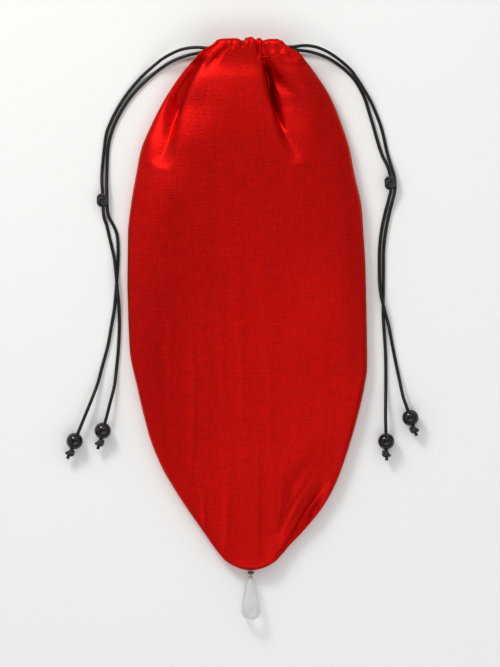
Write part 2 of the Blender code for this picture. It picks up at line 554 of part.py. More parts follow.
def build_drop(glass, bead_glass, thread_finish):
    tip = Vector((float(body_plan(0, TIP_START)[0]), TIP_Y, SEAM_HEIGHT))
    down = Vector((0, -1, 0))
    bore = THREAD_DIAMETER + THREAD_CLEARANCE
    bead = ball_profile(TIP_BEAD_DIAMETER / 2, TIP_BEAD_LENGTH, bore, TIP_BEAD_STEPS[1])
    bead_place = tip + down * (SEAM_GAP + TIP_BEAD_LENGTH / 2)
    turned("tip_bead", bead, TIP_BEAD_STEPS[0], bead_place, down, bead_glass)

    drop_tip = bead_place + down * (TIP_BEAD_LENGTH / 2 + DROP_GAP)
    lift = DROP_DIAMETER / 2 + TABLE_CLEARANCE - SEAM_HEIGHT
    axis = Vector((0, -math.sqrt((DROP_FULLEST * DROP_LENGTH) ** 2 - lift**2), lift))
    drop = turned("glass_drop", drop_profile(), DROP_STEPS[0], drop_tip, axis, glass)
    hole = drop_tip + axis.normalized() * DROP_HOLE_DEPTH
    bpy.ops.mesh.primitive_cylinder_add(vertices=HOLE_STEPS, radius=THREAD_DIAMETER / 2 + DROP_HOLE_CLEARANCE,
                                        depth=DROP_DIAMETER, location=hole)
    cutter = bpy.context.object
    cutter.name = "drop_hole"
    cutter.hide_render = True
    cutter.display_type = "WIRE"
    for old in list(cutter.users_collection):
        old.objects.unlink(cutter)
    cutters.objects.link(cutter)
    cut = drop.modifiers.new("Hole", "BOOLEAN")
    cut.operation = "DIFFERENCE"
    cut.object = cutter

    strand = THREAD_DIAMETER * STRAND_APART
    over = drop_radius(DROP_HOLE_DEPTH / DROP_LENGTH) + THREAD_DIAMETER / 2 + THREAD_CLEARANCE
    top = tip.y - SEAM_GAP
    bead_end = bead_place.y - TIP_BEAD_LENGTH / 2
    upper = [(top, strand), ((top + bead_end) / 2, strand), (bead_end, strand * STRAND_SPREAD)]
    upper += [(hole.y + share * (bead_end - hole.y), height * over) for share, height in THREAD_LOOP]
    loop = [(tip.x, y, hole.z + (tip.z - hole.z) * (y - hole.y) / (top - hole.y) + z) for y, z in upper]
    loop += [(x, y, z - 2 * h) for (x, y, z), (_, h) in zip(loop[::-1], upper[::-1])]
    tube("drop_thread", spaced(route(loop), THREAD_STEP), THREAD_DIAMETER / 2, thread_finish)


def main():
    satin = material("red satin", (0.5, 0.006, 0.008), 0.4)
    leather = material("black leather cord", (0.01, 0.009, 0.009), 0.5)
    onyx = material("polished black stone", (0.004, 0.004, 0.004), 0.05)
    glass = material("clear glass", (0.8, 0.8, 0.8), 0.02)
    bead_glass = material("dark red glass", (0.15, 0.004, 0.004), 0.15)
    thread_finish = material("red thread", (0.6, 0.15, 0.14), 0.6)
    build_bag(satin)
    build_cords(leather, onyx)
    build_drop(glass, bead_glass, thread_finish)


for old in list(bpy.data.objects):
    bpy.data.objects.remove(old)
pouch = bpy.data.collections.new("Kinchaku pouch")
cutters = bpy.data.collections.new("Cutters")
for collection in (pouch, cutters):
    bpy.context.scene.collection.children.link(collection)
main()
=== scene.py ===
import json
import math

import bpy
import numpy as np
from mathutils import Matrix, Vector


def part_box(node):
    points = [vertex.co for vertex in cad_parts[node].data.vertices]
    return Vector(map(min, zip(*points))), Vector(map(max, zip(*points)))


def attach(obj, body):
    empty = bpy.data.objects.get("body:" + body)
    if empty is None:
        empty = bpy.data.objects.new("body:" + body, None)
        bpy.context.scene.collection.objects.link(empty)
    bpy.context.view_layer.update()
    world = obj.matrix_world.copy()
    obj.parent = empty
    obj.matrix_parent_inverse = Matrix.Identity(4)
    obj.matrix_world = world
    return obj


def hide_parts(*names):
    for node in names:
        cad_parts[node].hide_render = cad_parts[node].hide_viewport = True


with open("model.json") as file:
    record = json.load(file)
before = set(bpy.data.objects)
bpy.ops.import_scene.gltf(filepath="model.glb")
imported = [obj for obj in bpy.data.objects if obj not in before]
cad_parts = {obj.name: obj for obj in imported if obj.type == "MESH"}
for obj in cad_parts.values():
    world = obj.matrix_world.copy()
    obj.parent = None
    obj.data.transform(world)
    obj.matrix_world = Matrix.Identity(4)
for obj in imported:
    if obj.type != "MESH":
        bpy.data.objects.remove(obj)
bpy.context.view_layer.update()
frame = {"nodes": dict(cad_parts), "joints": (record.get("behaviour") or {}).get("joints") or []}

bl_info = {
    "name": "Kinchaku Pouch",
    "version": (1, 0, 0),
    "blender": (4, 5, 0),
    "location": "View3D > Sidebar > Kinchaku",
    "description": "Satin, cords, beads and glass drop of a pointed drawstring pouch",
    "category": "Object",
}

MM = 0.001
DROP_HOLE = next(Vector(joint["pos_m"]) for joint in frame["joints"] if joint["name"] == "drop_swing")

# The bag
BAG_WIDTH = 144 * MM
BAG_LENGTH = 320 * MM
MOUTH_WIDTH = 64 * MM
MOUTH_SHIFT = 1.3 * MM
CLOTH = 0.9 * MM
SEAM_GAP = 0.06 * MM
SEAM_HEIGHT = 4.5 * MM
MOUTH_SEAM_HEIGHT = 9 * MM
EDGE_ROLL = 3 * MM
BELLY_HEIGHT = 18 * MM
SHOULDER_HEIGHT = 24 * MM
TIP_HEIGHT = 9 * MM
CHANNEL_DEPTH = 12.2 * MM
CHANNEL_ROOM = 5 * MM
CHANNEL_TOP_WIDTH = 39 * MM
MOUTH_OPENING = 6.4 * MM
STITCH_DIP = 0.5 * MM
HEM_RISE = 1.5 * MM
RUFFLE = 0.3 * MM
BACK_RUFFLE = 0.5 * MM
HEM_WIDTH = 46 * MM
BACK_EDGE_DROP = 1.8 * MM
HALF_WIDTH = BAG_WIDTH / 2
HALF_MOUTH = MOUTH_WIDTH / 2
TIP_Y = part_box("front_panel")[0].y
TOP_Y = TIP_Y + BAG_LENGTH
STITCH_Y = TOP_Y - CHANNEL_DEPTH
BODY = STITCH_Y - TIP_Y
BACK_HEM_Z = 2 * CLOTH + CHANNEL_ROOM
FRONT_HEM_Z = BACK_HEM_Z + MOUTH_OPENING
FRONT_TOP_Z = FRONT_HEM_Z + 2 * CLOTH + CHANNEL_ROOM
FRONT_STITCH_Z = FRONT_TOP_Z - STITCH_DIP

# The bag's edge from the pointed end up to the stitch line. The first number is the share of that height. The
# second is the share of half the width up to the widest place, and above it the share of the step from the
# mouth out to the full width.
LEFT_LOWER = ((0.02, 0.19), (0.04, 0.26), (0.08, 0.38), (0.12, 0.5), (0.16, 0.61), (0.2, 0.71), (0.25, 0.8),
              (0.3, 0.86), (0.36, 0.92), (0.43, 0.98), (0.55, 1.0))
LEFT_UPPER = ((0.55, 1.0), (0.66, 0.99), (0.7, 0.96), (0.78, 0.86), (0.82, 0.8), (0.86, 0.68), (0.92, 0.45),
              (0.975, 0.17), (1.0, 0.0))
RIGHT_LOWER = ((0.02, 0.25), (0.04, 0.32), (0.08, 0.48), (0.12, 0.62), (0.16, 0.72), (0.2, 0.79),
               (0.25, 0.86), (0.3, 0.92), (0.35, 0.97), (0.4, 1.0), (0.55, 0.99))
RIGHT_UPPER = ((0.55, 0.98), (0.6, 0.97), (0.66, 0.94), (0.7, 0.92), (0.78, 0.79), (0.82, 0.73), (0.86, 0.63),
               (0.92, 0.44), (0.975, 0.16), (1.0, 0.0))
TIP_START = LEFT_LOWER[0][0]
WIDEST = LEFT_LOWER[-1][0]
TIP_SAG = TIP_START * BODY

# Shares of the body's height where the tip is no longer rounded, the seams start to lift, the mouth starts to
# draw in, the crown starts down to the stitches, and the seams open into the channel
SAG_END = 0.14
LIFT_START = 0.86
DRAW_START = 0.9
CROWN_END = 0.96
VENT_START = 0.985

# How the front arches across, as powers: over the body, and what the drawn mouth adds
BODY_ARCH = 3.4
MOUTH_ARCH = 4
# How far the cloth has rolled over from its seam where folds and swells begin
FOLDS_START = 0.3

# The height of the front along the bag, as a share of the step from the tip to the belly, and from the belly
# to the shoulder
BELLY_RISE = ((0.02, 0.0), (0.1, 0.22), (0.18, 0.44), (0.25, 0.62), (0.33, 0.74), (0.42, 0.83), (0.5, 0.9),
              (0.58, 0.955), (0.66, 0.988), (0.76, 1.0))
SHOULDER_RISE = ((0.1, 0.0), (0.2, 0.02), (0.29, 0.12), (0.38, 0.32), (0.5, 0.66), (0.6, 0.84), (0.7, 0.94),
                 (0.78, 0.99), (0.84, 1.0), (0.9, 0.84), (0.95, 0.58), (1.0, 0.25))

# How far the ruffled top edge lies below its highest point, in millimetres, from left to right
TOP_EDGE = ((-1.0, 2.0), (-0.85, 1.2), (-0.6, 1.0), (-0.45, 0.9), (-0.32, 1.3), (-0.27, 2.0), (-0.21, 4.0),
            (-0.17, 2.6), (-0.13, 0.9), (-0.05, 0.5), (0.03, 0.0), (0.1, 0.3), (0.15, 1.2), (0.2, 1.7),
            (0.25, 0.9), (0.32, 0.7), (0.42, 2.2), (0.5, 1.8), (0.65, 1.3), (0.84, 1.3), (1.0, 2.8))

# Folds are lines along the cloth. Each point is x, y, the depth and the widths to the line's left and right,
# in millimetres, and a negative depth is a ridge. First come two deep pleats at the mouth and a tuck at the
# tip.
PLEATS = (
    ((-53.6, 97.0, 0.0, 5.0, 7.0), (-51.9, 101.3, 1.7, 7.0, 8.0), (-49.6, 106.1, 3.0, 9.0, 7.6),
     (-47.2, 112.1, 4.4, 11.0, 5.6), (-44.8, 119.3, 5.8, 12.0, 4.0), (-42.3, 126.5, 7.0, 12.0, 3.0),
     (-39.8, 133.7, 7.8, 11.5, 2.5), (-37.1, 140.3, 8.0, 10.5, 2.2), (-34.7, 146.3, 7.6, 9.0, 2.1),
     (-32.3, 152.3, 6.4, 7.0, 2.0), (-29.6, 157.7, 4.8, 4.6, 2.0), (-27.0, 161.8, 3.4, 3.0, 1.9),
     (-24.2, 165.2, 2.4, 2.0, 1.7), (-21.0, 168.0, 1.6, 1.4, 1.4), (-17.6, 170.5, 1.0, 1.1, 1.1),
     (-15.6, 172.8, 0.5, 0.9, 0.9)),
    ((30.2, 99.0, 0.0, 5.0, 5.0), (29.2, 102.6, 1.2, 5.4, 8.0), (27.4, 107.4, 2.5, 5.4, 11.5),
     (24.8, 112.5, 3.8, 5.0, 15.0), (21.6, 118.5, 5.2, 4.2, 18.5), (18.7, 124.5, 6.6, 3.0, 21.0),
     (16.4, 129.5, 7.8, 2.0, 22.5), (14.4, 135.0, 8.8, 1.7, 22.5), (12.7, 141.0, 9.6, 1.5, 20.5),
     (11.4, 147.5, 9.6, 1.4, 16.5), (10.5, 153.0, 8.2, 1.4, 11.0), (10.1, 158.5, 5.8, 1.4, 6.0),
     (10.1, 163.0, 3.4, 1.3, 3.0), (9.9, 167.0, 2.4, 1.2, 1.6), (9.5, 172.8, 1.9, 1.0, 1.0)),
    ((16.6, -138.6, 0.0, 1.0, 2.0), (20.4, -134.2, 2.4, 1.4, 3.4), (24.8, -128.4, 4.2, 1.6, 4.6),
     (30.6, -119.2, 6.4, 1.8, 6.0), (34.6, -111.4, 6.2, 1.9, 6.8), (39.0, -104.4, 4.6, 2.3, 6.8),
     (43.8, -97.4, 1.8, 3.0, 6.0), (48.0, -91.5, 0.0, 4.0, 5.0)),
)
# A pleat's section: how much its sides bow, how rounded its rim and its foot are, as a share and as a size
# that counts more where the pleat is narrow, the widths between which it opens out, and how softly it fades
PLEAT_BOWL = 0.2
PLEAT_RIM = (0.09, 0.55 * MM)
PLEAT_FOOT = (0.05, 0.25 * MM)
PLEAT_OPEN = (5 * MM, 13 * MM)
PLEAT_FADE = 0.5
# Ridges of cloth beside the tuck and across the right shoulder of the mouth
SECOND_LAYER = (
    ((24.5, -133.0, 0.0, 1.2, 1.2), (31.0, -125.0, -0.9, 1.2, 1.4), (37.0, -117.0, -1.1, 1.3, 1.5),
     (42.5, -110.0, -0.7, 1.3, 1.4), (46.0, -105.5, 0.0, 1.2, 1.2)),
    ((18.0, -127.0, 0.0, 3.0, 2.4), (24.0, -114.5, -1.5, 4.0, 3.0), (29.6, -103.5, -2.4, 5.0, 4.0),
     (37.0, -90.5, -2.2, 6.0, 5.0), (45.5, -77.5, -1.1, 6.0, 5.0), (52.0, -65.0, 0.0, 5.0, 5.0)),
    ((27.5, 160.5, 0.0, 1.8, 2.0), (24.6, 162.6, -1.0, 2.0, 2.4), (20.4, 164.4, -1.2, 1.8, 2.2),
     (16.0, 164.6, -1.0, 1.5, 1.8), (12.6, 163.4, 0.0, 1.2, 1.4)),
)
# Narrow grooves in the feet of the two deep pleats
CREVICES = (
    ((-48.2, 112.0, 0.0, 3.0, 2.0), (-45.8, 119.0, 1.6, 4.4, 2.4), (-42.2, 130.0, 3.4, 5.6, 2.6),
     (-38.6, 139.5, 4.2, 5.6, 2.6), (-35.4, 147.5, 3.6, 4.6, 2.4), (-31.4, 155.5, 1.6, 2.8, 1.8),
     (-28.6, 160.0, 0.0, 1.5, 1.2)),
    ((22.4, 117.5, 0.0, 1.2, 1.6), (19.0, 124.5, 1.8, 1.5, 2.2), (15.8, 132.5, 3.8, 1.8, 2.8),
     (13.4, 140.5, 5.2, 2.0, 3.2), (12.0, 149.0, 5.6, 2.0, 3.4), (11.3, 154.0, 4.2, 1.8, 2.8),
     (10.8, 157.6, 0.8, 1.3, 1.8), (10.6, 159.5, 0.0, 1.0, 1.2)),
)
# Pinches of the gathered mouth
MOUTH_PINCHES = (
    ((-25.2, 154.5, 0.0, 1.4, 1.6), (-20.6, 160.4, 1.6, 1.2, 2.0), (-17.0, 164.6, 2.4, 0.9, 1.5),
     (-13.4, 168.2, 1.6, 0.9, 1.1), (-12.0, 171.5, 0.3, 0.8, 0.8)),
    ((-9.4, 166.5, 0.0, 0.9, 0.9), (-8.6, 170.4, 0.7, 0.9, 0.9), (-8.2, 173.6, 0.8, 0.8, 0.8)),
    ((-4.2, 161.0, 0.0, 0.9, 0.9), (-3.2, 168.0, 0.8, 0.9, 0.9), (-2.8, 171.0, 2.2, 1.0, 1.0),
     (-2.6, 173.8, 2.8, 1.1, 1.1)),
    ((1.6, 167.5, 0.0, 0.7, 0.7), (1.9, 172.0, 0.8, 0.7, 0.7), (2.0, 174.6, 1.0, 0.7, 0.7)),
    ((6.9, 161.0, 0.0, 0.6, 0.6), (6.4, 167.0, 1.4, 0.75, 0.75), (6.1, 172.6, 1.8, 0.8, 0.8)),
    ((13.4, 160.0, 0.0, 1.1, 1.1), (13.6, 167.6, 0.6, 1.2, 1.2), (14.6, 173.5, 0.6, 1.0, 1.0)),
    ((17.0, 160.5, 0.0, 1.6, 1.6), (19.8, 166.4, 0.7, 1.8, 1.8), (22.6, 171.5, 0.5, 1.4, 1.4)),
    ((12.5, 156.0, 0.0, 1.6, 2.2), (16.0, 151.4, 1.7, 2.6, 3.6), (20.0, 147.2, 1.5, 3.2, 4.2),
     (25.0, 143.8, 0.9, 3.4, 4.4), (31.0, 141.0, 0.0, 3.2, 4.0)),
    ((25.4, 160.0, 0.0, 1.4, 1.4), (26.2, 166.6, 0.6, 1.6, 1.5), (26.6, 170.0, 0.3, 1.3, 1.3)),
)
# How far the middle panel's edges reach over the pleats beside it, how deep a pleat takes all of that, and
# how far below the stitches it starts to fade
PANEL_OVERLAP = 2.0 * MM
PANEL_OVERLAP_DEPTH = 9 * MM
PANEL_OVERLAP_FADE = 4 * MM
# How deep folds may press the channel over its cord. The limit comes in between these heights above the
# stitches, and goes again between these depths below the top edge.
CHANNEL_PRESS = 1.5 * MM
PRESS_START = (0.5 * MM, 3.2 * MM)
PRESS_END = (4 * MM, 2.5 * MM)
# Fine creases along the stuffed front
CRINKLES = (
    ((-14.0, -141, 0.0, 1.6, 2.4), (-13.2, -125, 0.34, 1.6, 2.4), (-12.4, -105, 0.31, 1.6, 2.2),
     (-12.2, -84, 0.0, 1.5, 2.0)),
    ((7.0, -144, 0.0, 1.9, 1.7), (6.6, -125, 0.40, 1.9, 1.7), (6.2, -95, 0.31, 1.9, 1.7),
     (6.0, -60, 0.0, 1.8, 1.6)),
    ((19.0, -124, 0.0, 1.4, 1.6), (20.4, -103, 0.31, 1.4, 1.6), (21.5, -82, 0.0, 1.4, 1.6)),
    ((-34.5, -98, 0.0, 2.2, 1.5), (-31.8, -45, 0.27, 2.2, 1.5), (-34.0, 17, 0.0, 2.2, 1.5)),
    ((-47.0, -62, 0.0, 1.5, 1.8), (-46.5, -5, 0.23, 1.5, 1.8), (-49.0, 62, 0.0, 1.5, 1.8)),
    ((-15.0, -55, 0.0, 1.8, 1.4), (-15.0, 5, 0.23, 1.8, 1.4), (-16.0, 74, 0.0, 1.8, 1.4)),
    ((-3.0, -72, 0.0, 1.5, 2.0), (-3.5, -15, 0.22, 1.5, 2.0), (-5.0, 50, 0.0, 1.5, 2.0)),
    ((14.5, -92, 0.0, 1.5, 2.2), (13.5, -45, 0.31, 1.5, 2.2), (12.5, 4, 0.0, 1.5, 2.2)),
    ((26.5, -35, 0.0, 2.0, 1.5), (26.0, 20, 0.23, 2.0, 1.5), (25.0, 78, 0.0, 2.0, 1.5)),
    ((47.0, -72, 0.0, 1.6, 2.2), (46.0, 5, 0.31, 1.6, 2.2), (42.5, 84, 0.0, 1.6, 2.2)),
    ((38.5, -95, 0.0, 1.8, 1.4), (43.0, -35, 0.20, 1.8, 1.4), (45.5, 20, 0.0, 1.8, 1.4)),
    ((58.5, -30, 0.0, 1.6, 1.6), (59.5, 20, 0.25, 1.6, 1.6), (55.0, 70, 0.0, 1.6, 1.6)),
    ((-24.0, -130, 0.0, 1.4, 1.8), (-26.0, -112, 0.27, 1.4, 1.8), (-27.0, -95, 0.0, 1.4, 1.8)),
)
# Folds of the back sheet
BACK_FOLDS = (
    ((-27.0, 112, 0.0, 5.0, 6.0), (-22.0, 138, 2.8, 4.2, 5.2), (-17.5, 157, 2.6, 3.6, 4.4),
     (-17.0, 161, 0.0, 3.0, 4.0)),
    ((3.0, 118, 0.0, 5.0, 4.0), (2.0, 142, 2.4, 4.0, 3.5), (1.0, 157, 2.2, 3.4, 3.0),
     (1.0, 161, 0.0, 3.0, 3.0)),
    ((31.0, 108, 0.0, 6.0, 5.0), (24.0, 136, 2.8, 5.2, 4.2), (18.0, 157, 2.6, 4.4, 3.6),
     (17.0, 161, 0.0, 4.0, 3.0)),
)

# Steps from one point of a curve to the next
CURVE_STEPS = 24
# How far a fold reaches, in widths of it, how narrow it may be, and how many steps it takes at once
FOLD_REACH = 2.6
LEAST_WIDTH = 0.2 * MM
FOLD_STRIDE = 4

# Broad swells and hollows of the stuffed front: centre, half sizes and height, in millimetres
SWELLS = (
    dict(centre=(-8, 146), half=(20, 22), height=0.6),
    dict(centre=(32, -104), half=(11, 15), height=1.4),
    dict(centre=(52, 62), half=(16, 46), height=1.6),
    dict(centre=(40, -4), half=(15, 30), height=-1.2),
    dict(centre=(-44, 78), half=(14, 16), height=0.8),
    dict(centre=(-40, 60), half=(16, 22), height=-0.5),
)

# Routes of the cords from the channel outwards. Each point is x, y, z in millimetres.
LEFT_A = ((-25.5, 168.2, 16.4), (-31.1, 168.6, 15.4), (-39.8, 167.3, 12.0), (-49.3, 162.9, 7.6),
          (-56.6, 157.4, 4.2), (-64.5, 150.2, 1.8), (-71.8, 141.5, 1.15), (-77.6, 132.7, 1.15),
          (-82.0, 124.1, 1.15), (-84.6, 116.9, 1.15), (-86.0, 106.7, 1.15), (-87.1, 95.6, 1.15),
          (-87.3, 87.5, 2.3), (-86.7, 81.0, 3.4), (-86.5, 73.5, 3.4), (-86.1, 67.5, 2.3), (-84.3, 61.7, 1.15),
          (-82.2, 52.7, 1.15), (-80.0, 43.1, 1.9), (-78.9, 34.0, 3.2), (-78.0, 23.6, 3.2), (-77.0, 13.1, 1.9),
          (-76.8, -0.1, 1.15), (-77.5, -13.6, 1.15), (-78.3, -21.8, 1.15), (-79.7, -34.0, 2.6),
          (-82.2, -44.0, 4.6), (-84.1, -51.6, 5.1), (-86.5, -60.4, 5.1), (-89.7, -72.2, 5.1))
LEFT_B = ((-25.5, 167.0, 3.1), (-28.7, 165.8, 2.9), (-36.9, 163.9, 2.2), (-45.6, 160.4, 1.3),
          (-52.9, 155.6, 1.15), (-60.2, 149.5, 1.15), (-67.5, 142.2, 1.15), (-73.4, 134.3, 1.15),
          (-78.4, 125.5, 1.15), (-81.6, 117.5, 1.15), (-83.4, 109.6, 1.15), (-84.1, 99.5, 1.15),
          (-84.4, 88.0, 2.3), (-84.2, 81.0, 3.4), (-84.1, 73.5, 3.4), (-83.2, 67.5, 2.3), (-80.6, 62.5, 1.2),
          (-78.3, 57.0, 1.15), (-77.5, 48.5, 1.15), (-77.7, 38.3, 1.15), (-78.5, 27.0, 1.15),
          (-79.6, 13.5, 1.15), (-81.5, 2.0, 1.15), (-83.7, -10.3, 1.15), (-86.8, -21.7, 1.15),
          (-90.0, -33.5, 2.6), (-93.6, -43.0, 4.6), (-97.1, -51.6, 5.1), (-103.9, -68.2, 5.1),
          (-107.9, -78.0, 5.1))
RIGHT_A = ((27.5, 168.9, 16.4), (34.2, 169.7, 15.0), (40.0, 169.2, 12.8), (45.8, 167.3, 9.8),
           (51.6, 164.1, 6.8), (57.5, 159.7, 4.6), (62.6, 154.9, 3.6), (66.9, 148.7, 3.2), (70.5, 142.9, 3.2),
           (74.2, 136.4, 2.4), (77.1, 129.8, 1.3), (79.9, 122.6, 1.15), (81.9, 115.3, 1.15),
           (83.8, 106.6, 1.15), (86.3, 98.0, 2.3), (88.3, 91.2, 3.4), (88.7, 84.0, 3.4), (87.5, 78.0, 2.3),
           (85.4, 69.5, 1.15), (83.2, 58.7, 1.15), (81.9, 47.3, 1.15), (81.8, 35.6, 1.15), (81.7, 24.1, 1.15),
           (81.6, 9.2, 1.15), (82.4, -4.6, 1.15), (83.1, -17.2, 1.15), (83.2, -30.5, 1.2), (83.1, -42.5, 2.8),
           (83.0, -50.5, 4.6), (83.1, -58.5, 5.1), (83.4, -68.6, 5.1), (83.7, -79.0, 5.1))
RIGHT_B = ((31.5, 167.2, 3.1), (36.4, 166.6, 2.9), (43.0, 164.8, 2.2), (48.8, 162.4, 1.4),
           (54.6, 158.7, 1.15), (59.7, 154.6, 1.15), (64.2, 149.8, 1.15), (67.7, 144.2, 1.15),
           (70.7, 137.9, 1.15), (73.2, 129.8, 1.15), (75.9, 121.0, 1.15), (77.9, 113.8, 1.15),
           (80.9, 104.4, 1.15), (84.0, 98.0, 2.2), (86.0, 91.2, 3.4), (86.3, 84.0, 3.4), (85.1, 78.2, 2.4),
           (82.8, 69.5, 1.15), (80.6, 59.0, 1.15), (79.4, 47.3, 1.15), (79.3, 35.6, 1.15), (79.5, 27.5, 1.9),
           (80.3, 20.0, 3.25), (82.6, 10.5, 3.25), (84.9, 2.0, 1.9), (87.2, -10.3, 1.15), (89.5, -21.7, 1.15),
           (91.6, -31.8, 3.0), (93.5, -40.6, 5.1), (95.5, -46.4, 5.1), (98.4, -54.9, 5.1),
           (101.6, -64.2, 5.1))

# Each cord's route and its free length in metres, and the ends of the two knots that tie them in pairs
CORDS = {
    "left_cord_a": (LEFT_A, 0.2792),
    "left_cord_b": (LEFT_B, 0.2810),
    "right_cord_a": (RIGHT_A, 0.2832),
    "right_cord_b": (RIGHT_B, 0.2611),
}
KNOT_PLACES = {
    "left": ((-85.45, 81.0, 3.4), (-85.3, 73.5, 3.4)),
    "right": ((87.15, 91.2, 3.4), (87.5, 84.0, 3.4)),
}
CORD_CLEARANCE = 0.3 * MM
CORD_OVERLAP = 0.9 * MM
STOPPER_LENGTH = 4.4 * MM
STOPPER_TAIL = 2 * MM
STOPPER_START = (0, -2.6 * MM, 0)
STOPPER_END = (-2.1 * MM, 1.7 * MM, 0.3 * MM)

# An overhand knot: steps round it, how many of them its ends take, and how far it lies off its middle, as a
# share of its ring
KNOT_STEPS = 48
KNOT_END_STEPS = 3
KNOT_SHIFT = 0.8
# For the knots that tie and the knots that stop: the ring, its swing and its rise, and the gap between
# points, and how far a tied knot's ends reach along the cords
TIED_KNOT = (1.6 * MM, 1.1 * MM, 1.5 * MM)
TIED_REACH = 3.4 * MM
TIED_STEP = 0.5 * MM
STOPPER_KNOT = (0.95 * MM, 0.5 * MM, 0.8 * MM)
STOPPER_STEP = 0.3 * MM
# As shares of the cord's radius: how far apart two tied strands lie, and how thick drawn-tight strands are.
# Where strands rise steeply, at least the last of these, as a share of their direction, counts as level.
PAIR_APART = 1.7
PAIR_THICKNESS = 0.84
STOPPER_THICKNESS = 0.9
LEAST_LEVEL = 0.2

# Round beads: steps round and along them, steps round the drill, and the bevel at the bore
BEAD_STEPS = (64, 40)
BEAD_DRILL_STEPS = 48
BEAD_BEVEL = 0.18 * MM

# The hanging drop
TABLE_CLEARANCE = 0.1 * MM
THREAD_DIAMETER = 0.5 * MM
THREAD_CLEARANCE = 0.3 * MM
DROP_LENGTH = 27 * MM
DROP_DIAMETER = 11.6 * MM
DROP_HOLE_DEPTH = 1.9 * MM
DROP_HOLE_CLEARANCE = 0.21 * MM
# The drop's radius from its tip to its fullest place, as shares of both, and how its tip is rounded
DROP_TAPER = ((0, 0.2), (0.05, 0.26), (0.09, 0.33), (0.125, 0.42), (0.19, 0.53), (0.31, 0.67), (0.5, 0.79),
              (0.69, 0.9), (0.88, 0.98), (1, 1))
DROP_FULLEST = 0.8
DROP_TIP_ROUND = 0.02
# The loop of thread below the bead: how far up to it from the hole, and how far out over the drop. Then how
# far apart its strands lie in the bead, as a share of the thread, and how much they spread at its mouth.
THREAD_LOOP = ((0.55, 0.72), (0.22, 1.0), (0, 0.88), (0, 0.45))
STRAND_APART = 0.76
STRAND_SPREAD = 1.15
# The thread's two plies, in millimetres: steps along them, one turn, how far out they lie and their radius
PLY_STEP = 0.12
PLY_TURN = 1.1
PLY_OUT = 0.115
PLY_RADIUS = 0.13
# Steps round and along the spacer and the drop, steps round their drills, and the spacer's bevel
SPACER_STEPS = (16, 10)
DROP_STEPS = (72, 64)
DROP_DRILL_STEPS = 32
SPACER_BEVEL = 0.07 * MM

# The photograph's height in pixels, how large a pixel is on the object and at what height above the floor,
# and the place under the middle of the photograph
PHOTO_HEIGHT = 667
PIXEL = 0.6 * MM
PIXEL_LEVEL = 6 * MM
PHOTO_MIDDLE = (1.65 * MM, -2.8 * MM)
SENSOR_HEIGHT = 24.0
FLOOR_SIZE = 6

# The soft round lamps: their places and sizes, the settings that hold their powers, and their tints
COOL_LIGHT = (0.97, 0.985, 1.0)
LAMPS = {
    "key_lamp": ((-0.57, 0.9, 0.75), 0.42, "key_power", (1.0, 0.985, 0.96)),
    "top_lamp": ((0.15, 0.85, 1.5), 1.5, "top_power", (1.0, 0.99, 0.97)),
    "foot_lamp": ((0.1, -0.95, 1.45), 1.5, "fill_power", COOL_LIGHT),
    "side_lamp": ((0.95, -0.55, 1.0), 1.5, "side_power", COOL_LIGHT),
}

# The tint of the studio's soft dome, and how bright it is from level with the floor to straight overhead
DOME_TINT = (0.985, 0.99, 1.0)
DOME = ((0.0, 0.75), (0.45, 1.0), (0.68, 0.9), (0.87, 0.2), (1.0, 0.06))
# The direction in which the dome is brightest, and how bright it is from the opposite side round to that one
BRIGHT_SIDE = (-0.55, 0.82, 0.1)
SIDE_LIGHT = ((0.1, 0.42), (0.42, 0.8), (0.85, 1.0))

# How finely the two sheets are laid, and how much of each is the body, up to the channel
FRONT_GRID = (154, 300)
BACK_GRID = (96, 150)
BODY_SHARE = 0.84
# Where the front's points lie closer together across it, as place, half width and how much closer, and how
# finely that is worked out
CLOSER = ((0.27, 0.15, 1.7), (-0.7, 0.17, 0.8))
CLOSER_STEPS = 801
# How much closer together rows lie at the body's two ends, and columns at its edges
END_ROWS = 0.055
EDGE_COLUMNS = 0.04
# Rows up the channel's outer layer, as shares of it, how slowly they draw in to the top, steps over the fold
# at the top edge, and how far its first and last have drawn in
CHANNEL_ROWS = (0.25, 0.45, 0.65, 0.8)
TOP_DRAW = 1.5
FOLD_STEPS = 8
FOLD_DRAW = 0.75
# The channel's last row that folds press fully, counted from 0, and how many rows on they have faded
LAST_PRESSED_ROW = 3
FADING_ROWS = 7
# Gathers of the back channel: how fast they follow each other across it, and how far and how fast they sway
BACK_GATHERS = 31
GATHER_SWAY = 2
GATHER_SWAYS = 9
# The sheets as they are cut: points along the middle that measure their length, the least width above the
# widest place as a share of it, and how much wider they are than they lie
SPINE_STEPS = 400
LEAST_CUT = 0.82
CUT_FULLNESS = 1.05


class Wire:
    """One output of a node, that sums can be written with: 1 - mask, mask * 0.5."""

    def __init__(self, finish, socket):
        self.finish = finish
        self.socket = socket

    def math(self, operation, first, second):
        return self.finish.node("Math", {"operation": operation}, {0: first, 1: second})

    def __add__(self, other):
        return self.math("ADD", self, other)

    def __sub__(self, other):
        return self.math("SUBTRACT", self, other)

    def __mul__(self, other):
        return self.math("MULTIPLY", self, other)

    def __rsub__(self, other):
        return self.math("SUBTRACT", other, self)

    __radd__ = __add__
    __rmul__ = __mul__


